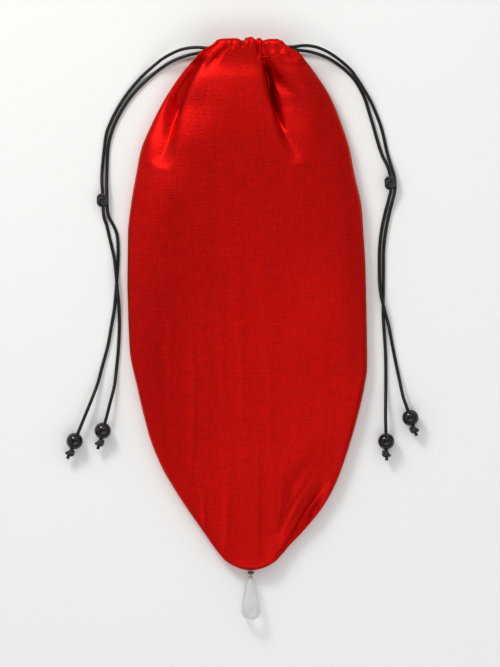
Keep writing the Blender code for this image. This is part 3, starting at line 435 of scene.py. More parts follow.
class Finish:
    """A material or the world while its nodes are put together."""

    def __init__(self, owner):
        self.owner = owner
        owner.use_nodes = True
        self.tree = owner.node_tree
        self.tree.nodes.clear()

    def node(self, kind, settings=None, sockets=None, out=0):
        """A new node of this kind, set and linked, as the wire of one of its outputs."""
        made = self.tree.nodes.new("ShaderNode" + kind)
        for name, value in (settings or {}).items():
            if name == "stops":
                self.set_stops(made.color_ramp, value)
            else:
                setattr(made, name, value)
        for name, value in (sockets or {}).items():
            if isinstance(value, Wire):
                self.tree.links.new(value.socket, made.inputs[name])
            else:
                made.inputs[name].default_value = value
        return Wire(self, made.outputs[out])

    def set_stops(self, ramp, stops):
        while len(ramp.elements) < len(stops):
            ramp.elements.new(0.5)
        for element, (place, shade) in zip(ramp.elements, stops):
            element.position = place
            element.color = (*shade, 1)

    def mix(self, share, first, second, blend="MIX"):
        """A colour between two, or one laid over the other."""
        return self.node("Mix", {"data_type": "RGBA", "blend_type": blend, "clamp_result": True},
                         {0: share, 6: first, 7: second}, out=2)

    def noise(self, place, scale, detail=2.0, roughness=0.5):
        """Noise of one scale, or of a scale for each axis."""
        if isinstance(scale, tuple):
            place = self.node("VectorMath", {"operation": "MULTIPLY"}, {0: place, 1: scale})
            scale = 1.0
        return self.node("TexNoise", {"noise_dimensions": "3D"},
                         {"Vector": place, "Scale": scale, "Detail": detail, "Roughness": roughness})

    def ramp(self, value, *stops):
        """A soft step through grey stops."""
        return self.node("ValToRGB", {"stops": [(place, (grey,) * 3) for place, grey in stops]}, {0: value})

    def spread(self, value, low, high):
        """Noise, spread evenly from low to high."""
        return self.node("MapRange", None, {0: value, 1: 0.3, 2: 0.7, 3: low, 4: high})

    def bump(self, height, depth, under=None):
        sockets = {"Height": height, "Distance": depth, "Strength": 1.0}
        if under is not None:
            sockets["Normal"] = under
        return self.node("Bump", None, sockets)

    def shader(self, **sockets):
        """The Principled shader, joined to the output, with words for its sockets' names."""
        named = {key.replace("_", " ").title().replace("Ior", "IOR"): value for key, value in sockets.items()}
        return self.join(self.node("BsdfPrincipled", None, named), "OutputMaterial")

    def join(self, surface, output):
        end = self.tree.nodes.new("ShaderNode" + output)
        self.tree.links.new(surface.socket, end.inputs["Surface"])
        return self.owner


def colour(rgb, share=1.0):
    """A colour, or one that is a share as bright."""
    return (*(min(1.0, c * share) for c in rgb), 1.0)


def new_finish(name):
    """A new material to put together, and the places on a piece that its patterns follow."""
    made = Finish(bpy.data.materials.new(name))
    return made, made.node("TexCoord", None, None, out=3)


def satin_finish(cloth):
    """Red satin: fine threads, long slubs, and the crosswise ribs of the weave, with a silky red gloss."""
    made = Finish(bpy.data.materials.new("red_satin"))
    flat = made.node("UVMap", {"uv_map": "flat_cloth"})
    thread = cloth.thread_width
    warp = made.noise(flat, (0.5 / thread, 0.06 / thread, 1), 2.0)
    weft = made.noise(flat, (0.05 / thread, 0.6 / thread, 1), 2.0)
    grain = made.noise(flat, (0.62 / thread, 0.56 / thread, 1), 3.0, 0.7)
    slub = made.noise(flat, (0.07 / thread, 0.0028 / thread, 1), 2.0)
    cloud = made.noise(flat, (14, 9, 1), 2.0)
    tone = warp * 0.2 + weft * 0.24 + grain * 0.5 + slub * 0.14 + cloud * 0.14 - 0.11
    light = made.ramp(tone, (0.36, 0.0), (0.64, 1.0))
    shade = made.mix(light, colour(cloth.colour, 0.72), colour(cloth.colour, 1.28))
    threads = made.bump(warp * 0.35 + weft * 0.35 + grain * 0.9, cloth.thread_depth)
    folds = made.bump(slub, cloth.slub_depth, threads)
    rough = made.spread(grain, cloth.roughness - 0.05, cloth.roughness + 0.05)
    return made.shader(base_color=shade, roughness=rough, metallic=cloth.silkiness, normal=folds,
                       specular_ior_level=cloth.gloss, specular_tint=colour((1.0, 0.5, 0.3)))


def leather_finish(cord):
    """Black cord leather: fine grain, faint long fibres and worn brown spots."""
    made, place = new_finish("black_leather")
    grain = made.noise(place, 1500.0, 3.0, 0.6)
    fibre = made.noise(place, (2600, 420, 2600), 2.0)
    wear = made.ramp(made.noise(place, 210.0, 2.0), (0.45, 0.0), (0.72, 1.0))
    shade = made.mix(wear * 0.55, colour(cord.colour), colour(cord.worn_colour))
    height = made.bump(grain * 0.6 + fibre * 0.5, cord.grain_depth)
    rough = made.spread(grain, 0.38, 0.52)
    return made.shader(base_color=shade, roughness=rough, normal=height, specular_ior_level=0.32)


def stone_finish(beads):
    """Polished black stone with faint grey bands."""
    made, place = new_finish("black_stone")
    band = made.noise(place, (160, 160, 420), 3.0)
    pale = made.ramp(band, (0.5, 0.0), (0.8, 1.0))
    shade = made.mix(pale, colour(beads.colour), colour((0.012, 0.012, 0.013)))
    scratch = made.bump(made.noise(place, 900.0, 2.0), 0.002 * MM)
    rough = made.spread(band, 0.03, 0.07)
    return made.shader(base_color=shade, roughness=rough, normal=scratch, specular_ior_level=0.4)


def clear_glass_finish(drop):
    """Clear glass with faint ripples and a slight veil."""
    made, place = new_finish("clear_glass")
    ripple = made.bump(made.noise(place, (260, 60, 260), 1.0), 0.03 * MM)
    veil = made.ramp(made.noise(place, 300.0, 2.0), (0.4, 0.0), (0.8, 1.0))
    shade = made.mix(veil * 0.3, colour(drop.colour), colour((0.86, 0.87, 0.87)))
    return made.shader(base_color=shade, roughness=0.015, normal=ripple, transmission_weight=1.0, ior=1.5,
                       alpha=0.62)


def red_glass_finish(drop):
    """Dark red glass with worn streaks."""
    made, place = new_finish("red_glass")
    streak = made.ramp(made.noise(place, (900, 300, 900), 2.0), (0.35, 0.0), (0.7, 1.0))
    shade = made.mix(streak, colour(drop.spacer_colour), colour(drop.spacer_colour, 2.2))
    worn = made.bump(streak, 0.01 * MM)
    return made.shader(base_color=shade, roughness=0.12, normal=worn, transmission_weight=0.25,
                       coat_weight=0.7, coat_roughness=0.05)


def thread_finish(drop):
    """Red sewing thread with short fibres."""
    made, place = new_finish("red_thread")
    fibre = made.noise(place, (9000, 2500, 9000), 2.0)
    shade = made.mix(fibre, colour(drop.thread_colour, 0.6), colour(drop.thread_colour))
    fuzz = made.bump(fibre, 0.03 * MM)
    return made.shader(base_color=shade, roughness=0.6, normal=fuzz, sheen_weight=0.3)


def paper_finish(stage):
    """The pale floor: matt paper with a faint tooth."""
    made, place = new_finish("pale_paper")
    tooth = made.noise(place, 700.0, 4.0, 0.6)
    pale = made.ramp(tooth, (0.3, 0.0), (0.7, 1.0))
    shade = made.mix(pale, colour(stage.floor_colour, 0.985), colour(stage.floor_colour))
    rise = made.bump(tooth, 0.04 * MM)
    return made.shader(base_color=shade, roughness=0.85, normal=rise, specular_ior_level=0.2)


def smooth_value(points, where):
    """A curve through given points, each a place and a value, that never overshoots them."""
    place, value = np.array(points, float).T
    step = np.diff(place)
    slope = np.diff(value) / step
    tangent = np.zeros(len(place))
    turn = slope[:-1] * slope[1:] > 0
    tangent[1:-1][turn] = 2 * slope[:-1][turn] * slope[1:][turn] / (slope[:-1] + slope[1:])[turn]
    tangent[0], tangent[-1] = slope[0], slope[-1]
    where = np.clip(where, place[0], place[-1])
    at = np.clip(np.searchsorted(place, where) - 1, 0, len(step) - 1)
    t = (where - place[at]) / step[at]
    rise = value[at] * (1 + 2 * t) * (1 - t) ** 2 + value[at + 1] * t * t * (3 - 2 * t)
    return rise + step[at] * (tangent[at] * t * (1 - t) ** 2 - tangent[at + 1] * t * t * (1 - t))


def ease(start, end, where):
    """0 before start, 1 after end and a soft step between them."""
    t = np.clip((where - start) / (end - start), 0, 1)
    return t * t * (3 - 2 * t)


def bag_edges(up):
    """X of the left and the right edge, at a share of the height from the tip to the stitch line."""
    sides = []
    for sign, lower, upper in ((-1, LEFT_LOWER, LEFT_UPPER), (1, RIGHT_LOWER, RIGHT_UPPER)):
        mouth = HALF_MOUTH + sign * MOUTH_SHIFT
        below = HALF_WIDTH * smooth_value(lower, up)
        above = mouth + (HALF_WIDTH - mouth) * smooth_value(upper, up)
        sides.append(sign * np.where(up < WIDEST, below, above))
    return sides


def body_plan(across, up):
    """X, Y and half width of the bag at places across and up it."""
    left, right = bag_edges(up)
    half = (right - left) / 2
    x = (left + right) / 2 + across * half
    sag = TIP_SAG * (1 - ease(TIP_START, SAG_END, up)) * (1 - across**2)
    return x, TIP_Y + up * BODY - sag, half


def between(a, b, c, d, t):
    """Places from b to c on a smooth curve through four."""
    return 0.5 * (2 * b + (c - a) * t + (2 * a - 5 * b + 4 * c - d) * t**2 + (3 * b - a - 3 * c + d) * t**3)


def route(points, scale=MM):
    """A smooth curve through a route's points, as closely spaced points."""
    p = np.array(points, float) * scale
    p = np.vstack((2 * p[0] - p[1], p, 2 * p[-1] - p[-2]))
    out = []
    for a, b, c, d in zip(p, p[1:], p[2:], p[3:]):
        for t in np.linspace(0, 1, CURVE_STEPS, endpoint=False):
            out.append(between(a, b, c, d, t))
    out.append(p[-2])
    return np.array(out)


def groove(reach, wide):
    """Section of a soft groove, at shares of its width away from its line."""
    return np.exp(-(reach**2))


def pleat(reach, wide):
    """Section of a pleat: a narrow foot, and sides that slope up evenly, or fade out where they are wide."""
    foot = PLEAT_FOOT[0] + PLEAT_FOOT[1] / wide
    rim = PLEAT_RIM[0] + PLEAT_RIM[1] / wide
    inside = 1 - np.sqrt(reach**2 + foot**2) + foot / 2
    inside = (inside + np.sqrt(inside**2 + rim**2)) / 2
    steep = inside * (1 + PLEAT_BOWL * (1 - inside))
    return steep + PLEAT_FADE * (inside**2 - steep) * ease(*PLEAT_OPEN, wide)


def beside(fold, x, y):
    """Which places are near a fold's line, their distance from it and side of it, and its size there."""
    points = np.array(fold, float) * MM
    around = FOLD_REACH * points[:, 3:].max()
    low, high = points[:, :2].min(0) - around, points[:, :2].max(0) + around
    near = (x > low[0]) & (x < high[0]) & (y > low[1]) & (y < high[1])
    px, py = x[near], y[near]
    line = route(points, 1.0)[::FOLD_STRIDE]
    away = np.full(px.shape, np.inf)
    side = np.zeros(px.shape)
    sizes = np.zeros((3, *px.shape))
    for here, after in zip(line, line[1:]):
        step = after[:2] - here[:2]
        share = np.clip(((px - here[0]) * step[0] + (py - here[1]) * step[1]) / (step @ step), 0, 1)
        dx = px - here[0] - share * step[0]
        dy = py - here[1] - share * step[1]
        found = np.hypot(dx, dy)
        nearer = found < away
        away[nearer] = found[nearer]
        side[nearer] = (step[0] * dy - step[1] * dx)[nearer] / (np.hypot(*step) * found[nearer] + 1e-9)
        for k in range(3):
            sizes[k][nearer] = (here[k + 2] + share * (after[k + 2] - here[k + 2]))[nearer]
    return near, away, side, sizes


def fold_depth(x, y, folds, section):
    """How deep folds of one section press the cloth at places in metres."""
    pressed = np.zeros(np.shape(x))
    raised = np.zeros(np.shape(x))
    for fold in folds:
        near, away, side, (depth, left, right) = beside(fold, x, y)
        wide = np.maximum((left + right) / 2 + (left - right) / 2 * side, LEAST_WIDTH)
        deep = depth * section(away / wide, wide)
        pressed[near] = np.maximum(pressed[near], deep)
        raised[near] = np.minimum(raised[near], deep)
    return pressed + raised


def front_folds(x, y):
    """How deep all the folds of the front sheet press it, no deeper than the cords allow over the channel."""
    deep = (fold_depth(x, y, PLEATS, pleat) + fold_depth(x, y, (*CREVICES, *MOUTH_PINCHES), groove)
            + fold_depth(x, y, SECOND_LAYER, groove) + fold_depth(x, y, CRINKLES, groove))
    above_stitches = ease(STITCH_Y + PRESS_START[0], STITCH_Y + PRESS_START[1], y)
    near_top = ease(TOP_Y - PRESS_END[0], TOP_Y - PRESS_END[1], y)
    return deep - above_stitches * (1 - near_top) * np.maximum(deep - CHANNEL_PRESS, 0)


def panel_overlap(x, y):
    """How far the middle panel's two edges reach sideways over the deep pleats beside them."""
    shift = np.zeros(np.shape(x))
    for fold, wall_side in ((PLEATS[0], -1), (PLEATS[1], 1)):
        near, away, side, (depth, left, right) = beside(fold, x, y)
        wall = np.where(side > 0, left, right)
        reach = np.where(side * wall_side > 0, away / np.maximum(wall, MM), 0)
        below = 1 - ease(STITCH_Y - PANEL_OVERLAP_FADE, STITCH_Y, y[near])
        drawn = np.clip(depth / PANEL_OVERLAP_DEPTH, 0, 1) ** 2 * below
        shift[near] += wall_side * PANEL_OVERLAP * drawn * reach * np.exp(1 - reach)
    return shift


def swell_height(x, y):
    """Height of the broad swells and hollows of the front at places in metres."""
    total = np.zeros(np.shape(x))
    for swell in SWELLS:
        aside = (x / MM - swell["centre"][0]) / swell["half"][0]
        along = (y / MM - swell["centre"][1]) / swell["half"][1]
        total += swell["height"] * MM * np.exp(-(aside**2 + along**2))
    return total


def edge_roll(across, up, half):
    """0 on the seam and 1 once the cloth has rolled over from it, along the sides and at the pointed end."""
    side = np.clip((1 - np.abs(across)) * half / EDGE_ROLL, 0, 1)
    end = np.clip((up - TIP_START) * BODY / EDGE_ROLL, 0, 1)
    return np.sqrt(1 - (1 - side) ** 2) * np.sqrt(1 - (1 - end) ** 2)


def seam_z(up):
    """Height of the side seam, which lifts towards the drawn mouth."""
    return SEAM_HEIGHT + (MOUTH_SEAM_HEIGHT - SEAM_HEIGHT) * ease(LIFT_START, 1, up)


def front_height(across, up, x, y, half):
    """The outer face of the front sheet above the table."""
    belly = TIP_HEIGHT + (BELLY_HEIGHT - TIP_HEIGHT) * smooth_value(BELLY_RISE, up)
    shoulder = (SHOULDER_HEIGHT - BELLY_HEIGHT) * smooth_value(SHOULDER_RISE, up)
    drawn = ease(DRAW_START, 1, up)
    lowered = ease(CROWN_END, 1, up)
    crown = (belly + shoulder) * (1 - lowered) + FRONT_STITCH_Z * lowered
    edge = seam_z(up) + SEAM_GAP / 2
    edge = edge + (FRONT_STITCH_Z - EDGE_ROLL - edge) * ease(VENT_START, 1, up)
    arch = 1 - np.abs(across) ** (BODY_ARCH + MOUTH_ARCH * drawn)
    rolled = edge_roll(across, up, half)
    z = edge + EDGE_ROLL * rolled + (crown - edge - EDGE_ROLL) * arch
    floor = seam_z(up) + SEAM_GAP / 2 + CLOTH
    shaped = np.maximum(z + (swell_height(x, y) - front_folds(x, y)) * ease(FOLDS_START, 1, rolled), floor)
    return np.where(rolled > FOLDS_START, shaped, z)


def back_height(across, up, x, y, half):
    """The outer face of the back sheet, which lies on the table."""
    edge = (seam_z(up) - SEAM_GAP / 2) * (1 - ease(VENT_START, 1, up))
    rolled = edge_roll(across, up, half)
    return edge * (1 - rolled) + rolled * fold_depth(x, y, BACK_FOLDS, groove)


def channel_rows(across, outer_z, stitch_z, hem_z, ruffle, top_drop):
    """Rows of the channel: up its outer layer, over the fold at the top edge and down its inner layer."""
    mouth_x = MOUTH_SHIFT + across * HALF_MOUTH
    top_x = MOUTH_SHIFT + across * CHANNEL_TOP_WIDTH / 2
    hem_x = MOUTH_SHIFT + across * HEM_WIDTH / 2
    fold = abs(outer_z - hem_z) / 2
    inward = np.sign(hem_z - outer_z)
    top_y = TOP_Y - top_drop
    rows = []
    for share in CHANNEL_ROWS:
        y = STITCH_Y + (top_y - fold - STITCH_Y) * share
        z = stitch_z + (outer_z + ruffle - stitch_z) * ease(0, CHANNEL_ROWS[-1], share)
        rows.append((mouth_x + (top_x - mouth_x) * ease(0, TOP_DRAW, share), y, z))
    for step in range(FOLD_STEPS + 1):
        turn = math.pi * step / FOLD_STEPS
        lean = (1 - math.cos(turn)) / 2
        z = outer_z + ruffle * (1 - lean) + (hem_z - outer_z) * lean
        x = mouth_x + (top_x - mouth_x) * (FOLD_DRAW + (1 - FOLD_DRAW) * math.sin(turn))
        rows.append((x, top_y - fold + fold * math.sin(turn), z))
    hem_end_z = stitch_z + inward * (2 * CLOTH + SEAM_GAP)
    for y, z in ((STITCH_Y + HEM_RISE, hem_z), (STITCH_Y + HEM_RISE / 3, (hem_z + 2 * hem_end_z) / 3),
                 (STITCH_Y - HEM_RISE / 3, hem_end_z)):
        rows.append((hem_x, y, z))
    return rows


def along_rows(rows, share):
    """Places on smooth curves through rows of points, at a share of the way from the second to the last."""
    grid = np.array([np.stack(np.broadcast_arrays(*row), -1) for row in rows])
    grid = np.concatenate((grid, 2 * grid[-1:] - grid[-2:-1]))
    spans = len(grid) - 3
    at = np.clip(share * spans, 0, spans - 1e-9)
    first = at.astype(int)
    t = (at - first)[:, None]
    pick = np.arange(len(share))
    return between(*(grid[first + k, pick] for k in range(4)), t)


def sheet_places(across, along, height, channel):
    """Places of a sheet's points: across it from -1 to 1, and along it from 0 at the tip to 1 at the hem."""
    share = np.clip(along / BODY_SHARE, 0, 1)
    up = TIP_START + (1 - TIP_START) * (share - END_ROWS * np.sin(2 * math.pi * share))
    x, y, half = body_plan(across, up)
    body = np.stack((x, y, height(across, up, x, y, half)), -1)
    rows = []
    for row_up in (VENT_START, 1.0):
        level = np.full(len(across), row_up)
        x, y, half = body_plan(across, level)
        rows.append((x, y, height(across, level, x, y, half)))
    rows += channel(across, rows[-1][2])
    turned = along_rows(rows, np.clip((along - BODY_SHARE) / (1 - BODY_SHARE), 0, 1))
    return np.where((along > BODY_SHARE)[:, None], turned, body)


def front_channel(across, stitch_z):
    """Rows of the front channel, pressed in by the folds that run on into it."""
    drop = smooth_value(TOP_EDGE, across) * MM
    stitch_z = stitch_z + front_folds(MOUTH_SHIFT + across * HALF_MOUTH, np.full(across.shape, STITCH_Y))
    rows = channel_rows(across, FRONT_TOP_Z, stitch_z, FRONT_HEM_Z, RUFFLE, drop)
    pressed = []
    for place, (x, y, z) in enumerate(rows):
        x, y = np.broadcast_to(x, across.shape), np.broadcast_to(y, across.shape)
        share = max(0.0, 1 - max(0, place - LAST_PRESSED_ROW) / FADING_ROWS)
        pressed.append((x, y, z - front_folds(x, y) * share))
    return pressed


def back_channel(across, stitch_z):
    """Rows of the back channel, with its own gathers."""
    gathers = np.cos(across * BACK_GATHERS + GATHER_SWAY * np.sin(across * GATHER_SWAYS))
    return channel_rows(across, 0, stitch_z, BACK_HEM_Z, BACK_RUFFLE * (0.5 + 0.5 * gathers), BACK_EDGE_DROP)


def deselect():
    bpy.ops.object.select_all(action="DESELECT")


def activate(obj):
    deselect()
    obj.select_set(True)
    bpy.context.view_layer.objects.active = obj


def added(add, **settings):
    """The object that an operator adds, with nothing else selected."""
    deselect()
    add(**settings)
    return bpy.context.object


def apply_modifier(obj, kind, **settings):
    activate(obj)
    modifier = obj.modifiers.new(kind.title(), kind)
    for name, value in settings.items():
        setattr(modifier, name, value)
    bpy.ops.object.modifier_apply(modifier=modifier.name)


def ball(steps, radius):
    """A ball with so many steps round it and along it."""
    return added(bpy.ops.mesh.primitive_uv_sphere_add, segments=steps[0], ring_count=steps[1], radius=radius)


def drill_out(obj, steps, radius, depth, place=(0, 0, 0)):
    """Drill an upright hole through a piece."""
    drill = added(bpy.ops.mesh.primitive_cylinder_add, vertices=steps, radius=radius, depth=depth,
                  location=place)
    apply_modifier(obj, "BOOLEAN", object=drill, operation="DIFFERENCE")
    bpy.data.objects.remove(drill)


def bevel(obj, width, segments, degrees):
    """Break the edges of a piece that are sharper than this."""
    apply_modifier(obj, "BEVEL", width=width, segments=segments, limit_method="ANGLE",
                   angle_limit=math.radians(degrees))


def smooth(obj, degrees):
    """Shade a piece smooth but for its edges that are sharper than this."""
    activate(obj)
    bpy.ops.object.shade_smooth_by_angle(angle=math.radians(degrees))


def settle(obj, name, body, material, node):
    """Name a finished piece, put its place in its mesh, and let it ride on its body in its material."""
    activate(obj)
    bpy.ops.object.transform_apply(location=True, rotation=True, scale=True)
    obj.name = name
    obj.data.name = name
    obj.data.materials.clear()
    obj.data.materials.append(material)
    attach(obj, body)
    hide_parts(node)


def closer_together(across, places):
    """Places across a sheet, moved so that they lie closer together where it has its folds."""
    fine = np.linspace(-1, 1, CLOSER_STEPS)
    density = np.ones(CLOSER_STEPS)
    for place, half, more in places:
        density += more * np.exp(-(((fine - place) / half) ** 2))
    total = np.cumsum(density) - density[0]
    return np.interp(across, 2 * total / total[-1] - 1, fine)


def lay_sheet(grid, height, channel, outside_up):
    """A grid that is laid as one sheet of the bag, with its flat places as a UV map."""
    obj = added(bpy.ops.mesh.primitive_grid_add, x_subdivisions=grid[0], y_subdivisions=grid[1], size=2)
    count = len(obj.data.vertices)
    start = np.zeros(count * 3)
    obj.data.vertices.foreach_get("co", start)
    across = np.clip(start.reshape(-1, 3)[:, 0], -1, 1)
    along = np.clip((start.reshape(-1, 3)[:, 1] + 1) / 2, 0, 1)
    across = closer_together(across, CLOSER if outside_up else ()) * (1 + EDGE_COLUMNS * (1 - across**2))
    across = np.clip(across, -1, 1)
    places = sheet_places(across, along, height, channel)
    if outside_up:
        places[:, 0] += panel_overlap(places[:, 0], places[:, 1])
    places[:, 2] = np.maximum(places[:, 2], 0)
    obj.data.vertices.foreach_set("co", places.reshape(-1))
    spine_along = np.linspace(0, 1, SPINE_STEPS)
    spine = sheet_places(np.zeros(SPINE_STEPS), spine_along, height, channel)
    length = np.concatenate(([0], np.cumsum(np.linalg.norm(np.diff(spine, axis=0), axis=1))))
    flat_y = np.interp(along, spine_along, length)
    up = TIP_START + (1 - TIP_START) * np.clip(along / BODY_SHARE, 0, 1)
    half = np.maximum(body_plan(across, up)[2], np.where(up > WIDEST, LEAST_CUT * HALF_WIDTH, 0))
    flat = np.stack((across * half * CUT_FULLNESS, flat_y), -1)
    layer = obj.data.uv_layers.new(name="flat_cloth")
    corner = np.zeros(len(obj.data.loops), int)
    obj.data.loops.foreach_get("vertex_index", corner)
    layer.data.foreach_set("uv", flat[corner].reshape(-1))
    if not outside_up:
        obj.data.flip_normals()
    return obj, flat


def spaced(points, gap):
    """Points along a fine curve at equal distances of about gap."""
    steps = np.linalg.norm(np.diff(points, axis=0), axis=1)
    along = np.concatenate(([0], np.cumsum(steps)))
    count = max(2, round(along[-1] / gap))
    at = np.linspace(0, along[-1], count + 1)
    return np.stack([np.interp(at, along, points[:, k]) for k in range(3)], -1)


def tube(strands, radius, roundness=4):
    """A mesh of round strands that follow lists of points, with closed ends."""
    curve = bpy.data.curves.new("strand", "CURVE")
    curve.dimensions = "3D"
    curve.bevel_depth = radius
    curve.bevel_resolution = roundness
    curve.use_fill_caps = True
    for points in strands:
        spline = curve.splines.new("POLY")
        spline.points.add(len(points) - 1)
        for point, place in zip(spline.points, points):
            point.co = (*place, 1)
    obj = bpy.data.objects.new("strand", curve)
    bpy.context.scene.collection.objects.link(obj)
    activate(obj)
    bpy.ops.object.convert(target="MESH")
    obj = bpy.context.object
    bpy.ops.object.mode_set(mode="EDIT")
    bpy.ops.mesh.select_all(action="SELECT")
    bpy.ops.mesh.remove_doubles(threshold=0.001 * MM)
    bpy.ops.mesh.normals_make_consistent(inside=False)
    bpy.ops.object.mode_set(mode="OBJECT")
    smooth(obj, 40)
    return obj


def frame_along(start, end):
    """A place halfway between two points, with Y along them and Z as near to up as can be."""
    along = (end - start).normalized()
    aside = along.cross(Vector((0, 0, 1))).normalized()
    above = aside.cross(along)
    turn = Matrix((aside, along, above)).transposed().to_4x4()
    return Matrix.Translation((start + end) / 2) @ turn


def overhand(ring, swing, rise, start, end):
    """The path of an overhand knot between two points, in metres about its own middle."""
    path = [start]
    for step in range(KNOT_END_STEPS, KNOT_STEPS - KNOT_END_STEPS + 1):
        t = 2 * math.pi * step / KNOT_STEPS
        out = ring + swing * math.cos(3 * t)
        x = ring * KNOT_SHIFT - out * math.cos(2 * t)
        path.append((x, out * math.sin(2 * t), rise * math.sin(3 * t)))
    return path + [end]


def placed(points, matrix):
    """Points moved and turned by a matrix."""
    return np.array([matrix @ Vector(p) for p in points])


def directions(points):
    """The direction of a path at each of its points."""
    travel = np.gradient(points, axis=0)
    return travel / np.linalg.norm(travel, axis=1)[:, None]


def apart(points, gap):
    """Two strands that run side by side along a path."""
    aside = np.cross(directions(points), (0, 0, 1.0))
    aside /= np.maximum(np.linalg.norm(aside, axis=1), LEAST_LEVEL)[:, None]
    return points + aside * gap / 2, points - aside * gap / 2


class PouchSatin(bpy.types.PropertyGroup):
    """Satin of the two sheets"""

    colour: bpy.props.FloatVectorProperty(
        name="Satin Colour", description="Colour of the dyed satin", size=3, subtype="COLOR",
        default=(0.54, 0.0018, 0.0024), min=0, max=1)
    thread_width: bpy.props.FloatProperty(
        name="Thread Width", description="Width of one thread of the weave", default=0.6 * MM, unit="LENGTH",
        precision=5)
    thread_depth: bpy.props.FloatProperty(
        name="Thread Depth", description="Height of a thread over its neighbours", default=0.18 * MM,
        unit="LENGTH", precision=5)
    slub_depth: bpy.props.FloatProperty(
        name="Slub Depth", description="Height of the thick places in a thread", default=0.1 * MM,
        unit="LENGTH", precision=5)
    roughness: bpy.props.FloatProperty(
        name="Roughness", description="How widely the satin spreads a highlight", default=0.42, min=0, max=1,
        subtype="FACTOR")
    silkiness: bpy.props.FloatProperty(
        name="Silkiness", description="Share of the gloss that takes the dye's colour", default=0.88, min=0,
        max=1, subtype="FACTOR")
    gloss: bpy.props.FloatProperty(
        name="Gloss", description="Strength of the clear gloss over the dye", default=1.0, min=0, max=1,
        subtype="FACTOR")


class PouchCord(bpy.types.PropertyGroup):
    """Leather cords and their knots"""

    diameter: bpy.props.FloatProperty(
        name="Cord Diameter", description="Thickness of the round leather cord", default=2 * MM,
        unit="LENGTH", precision=5)
    colour: bpy.props.FloatVectorProperty(
        name="Leather Colour", description="Colour of the dyed leather", size=3, subtype="COLOR",
        default=(0.004, 0.0035, 0.0035), min=0, max=1)
    worn_colour: bpy.props.FloatVectorProperty(
        name="Worn Colour", description="Colour where the dye is thin", size=3, subtype="COLOR",
        default=(0.016, 0.012, 0.011), min=0, max=1)
    grain_depth: bpy.props.FloatProperty(
        name="Grain Depth", description="Height of the leather's grain", default=0.05 * MM, unit="LENGTH",
        precision=5)


class PouchBeads(bpy.types.PropertyGroup):
    """Round stone beads on the cords"""

    diameter: bpy.props.FloatProperty(
        name="Bead Diameter", description="Size of a round bead", default=10 * MM, unit="LENGTH", precision=5)
    colour: bpy.props.FloatVectorProperty(
        name="Stone Colour", description="Colour of the polished stone", size=3, subtype="COLOR",
        default=(0.002, 0.002, 0.002), min=0, max=1)


class PouchDrop(bpy.types.PropertyGroup):
    """Glass drop, its spacer bead and its thread"""

    colour: bpy.props.FloatVectorProperty(
        name="Glass Colour", description="Colour of the clear glass", size=3, subtype="COLOR",
        default=(0.95, 0.955, 0.955), min=0, max=1)
    spacer_colour: bpy.props.FloatVectorProperty(
        name="Spacer Colour", description="Colour of the spacer bead", size=3, subtype="COLOR",
        default=(0.06, 0.004, 0.005), min=0, max=1)
    thread_colour: bpy.props.FloatVectorProperty(
        name="Thread Colour", description="Colour of the thread", size=3, subtype="COLOR",
        default=(0.55, 0.13, 0.12), min=0, max=1)


class PouchStage(bpy.types.PropertyGroup):
    """Floor, lamps and camera"""

    floor_colour: bpy.props.FloatVectorProperty(
        name="Floor Colour", description="Colour of the pale floor", size=3, subtype="COLOR",
        default=(0.83, 0.83, 0.815), min=0, max=1)
    camera_height: bpy.props.FloatProperty(
        name="Camera Height", description="How high the camera stands", default=6.0, unit="LENGTH")
    key_power: bpy.props.FloatProperty(
        name="Key Power", description="Power of the lamp at the upper left", default=9.0, unit="POWER")
    fill_power: bpy.props.FloatProperty(
        name="Fill Power", description="Power of the lamp at the foot", default=8.5, unit="POWER")
    top_power: bpy.props.FloatProperty(
        name="Top Power", description="Power of the wide lamp beyond the mouth", default=4.5, unit="POWER")
    side_power: bpy.props.FloatProperty(
        name="Side Power", description="Power of the wide lamp at the lower right", default=3.2, unit="POWER")
    sky: bpy.props.FloatProperty(
        name="Sky", description="Strength of the soft light from the dome", default=0.8, min=0)


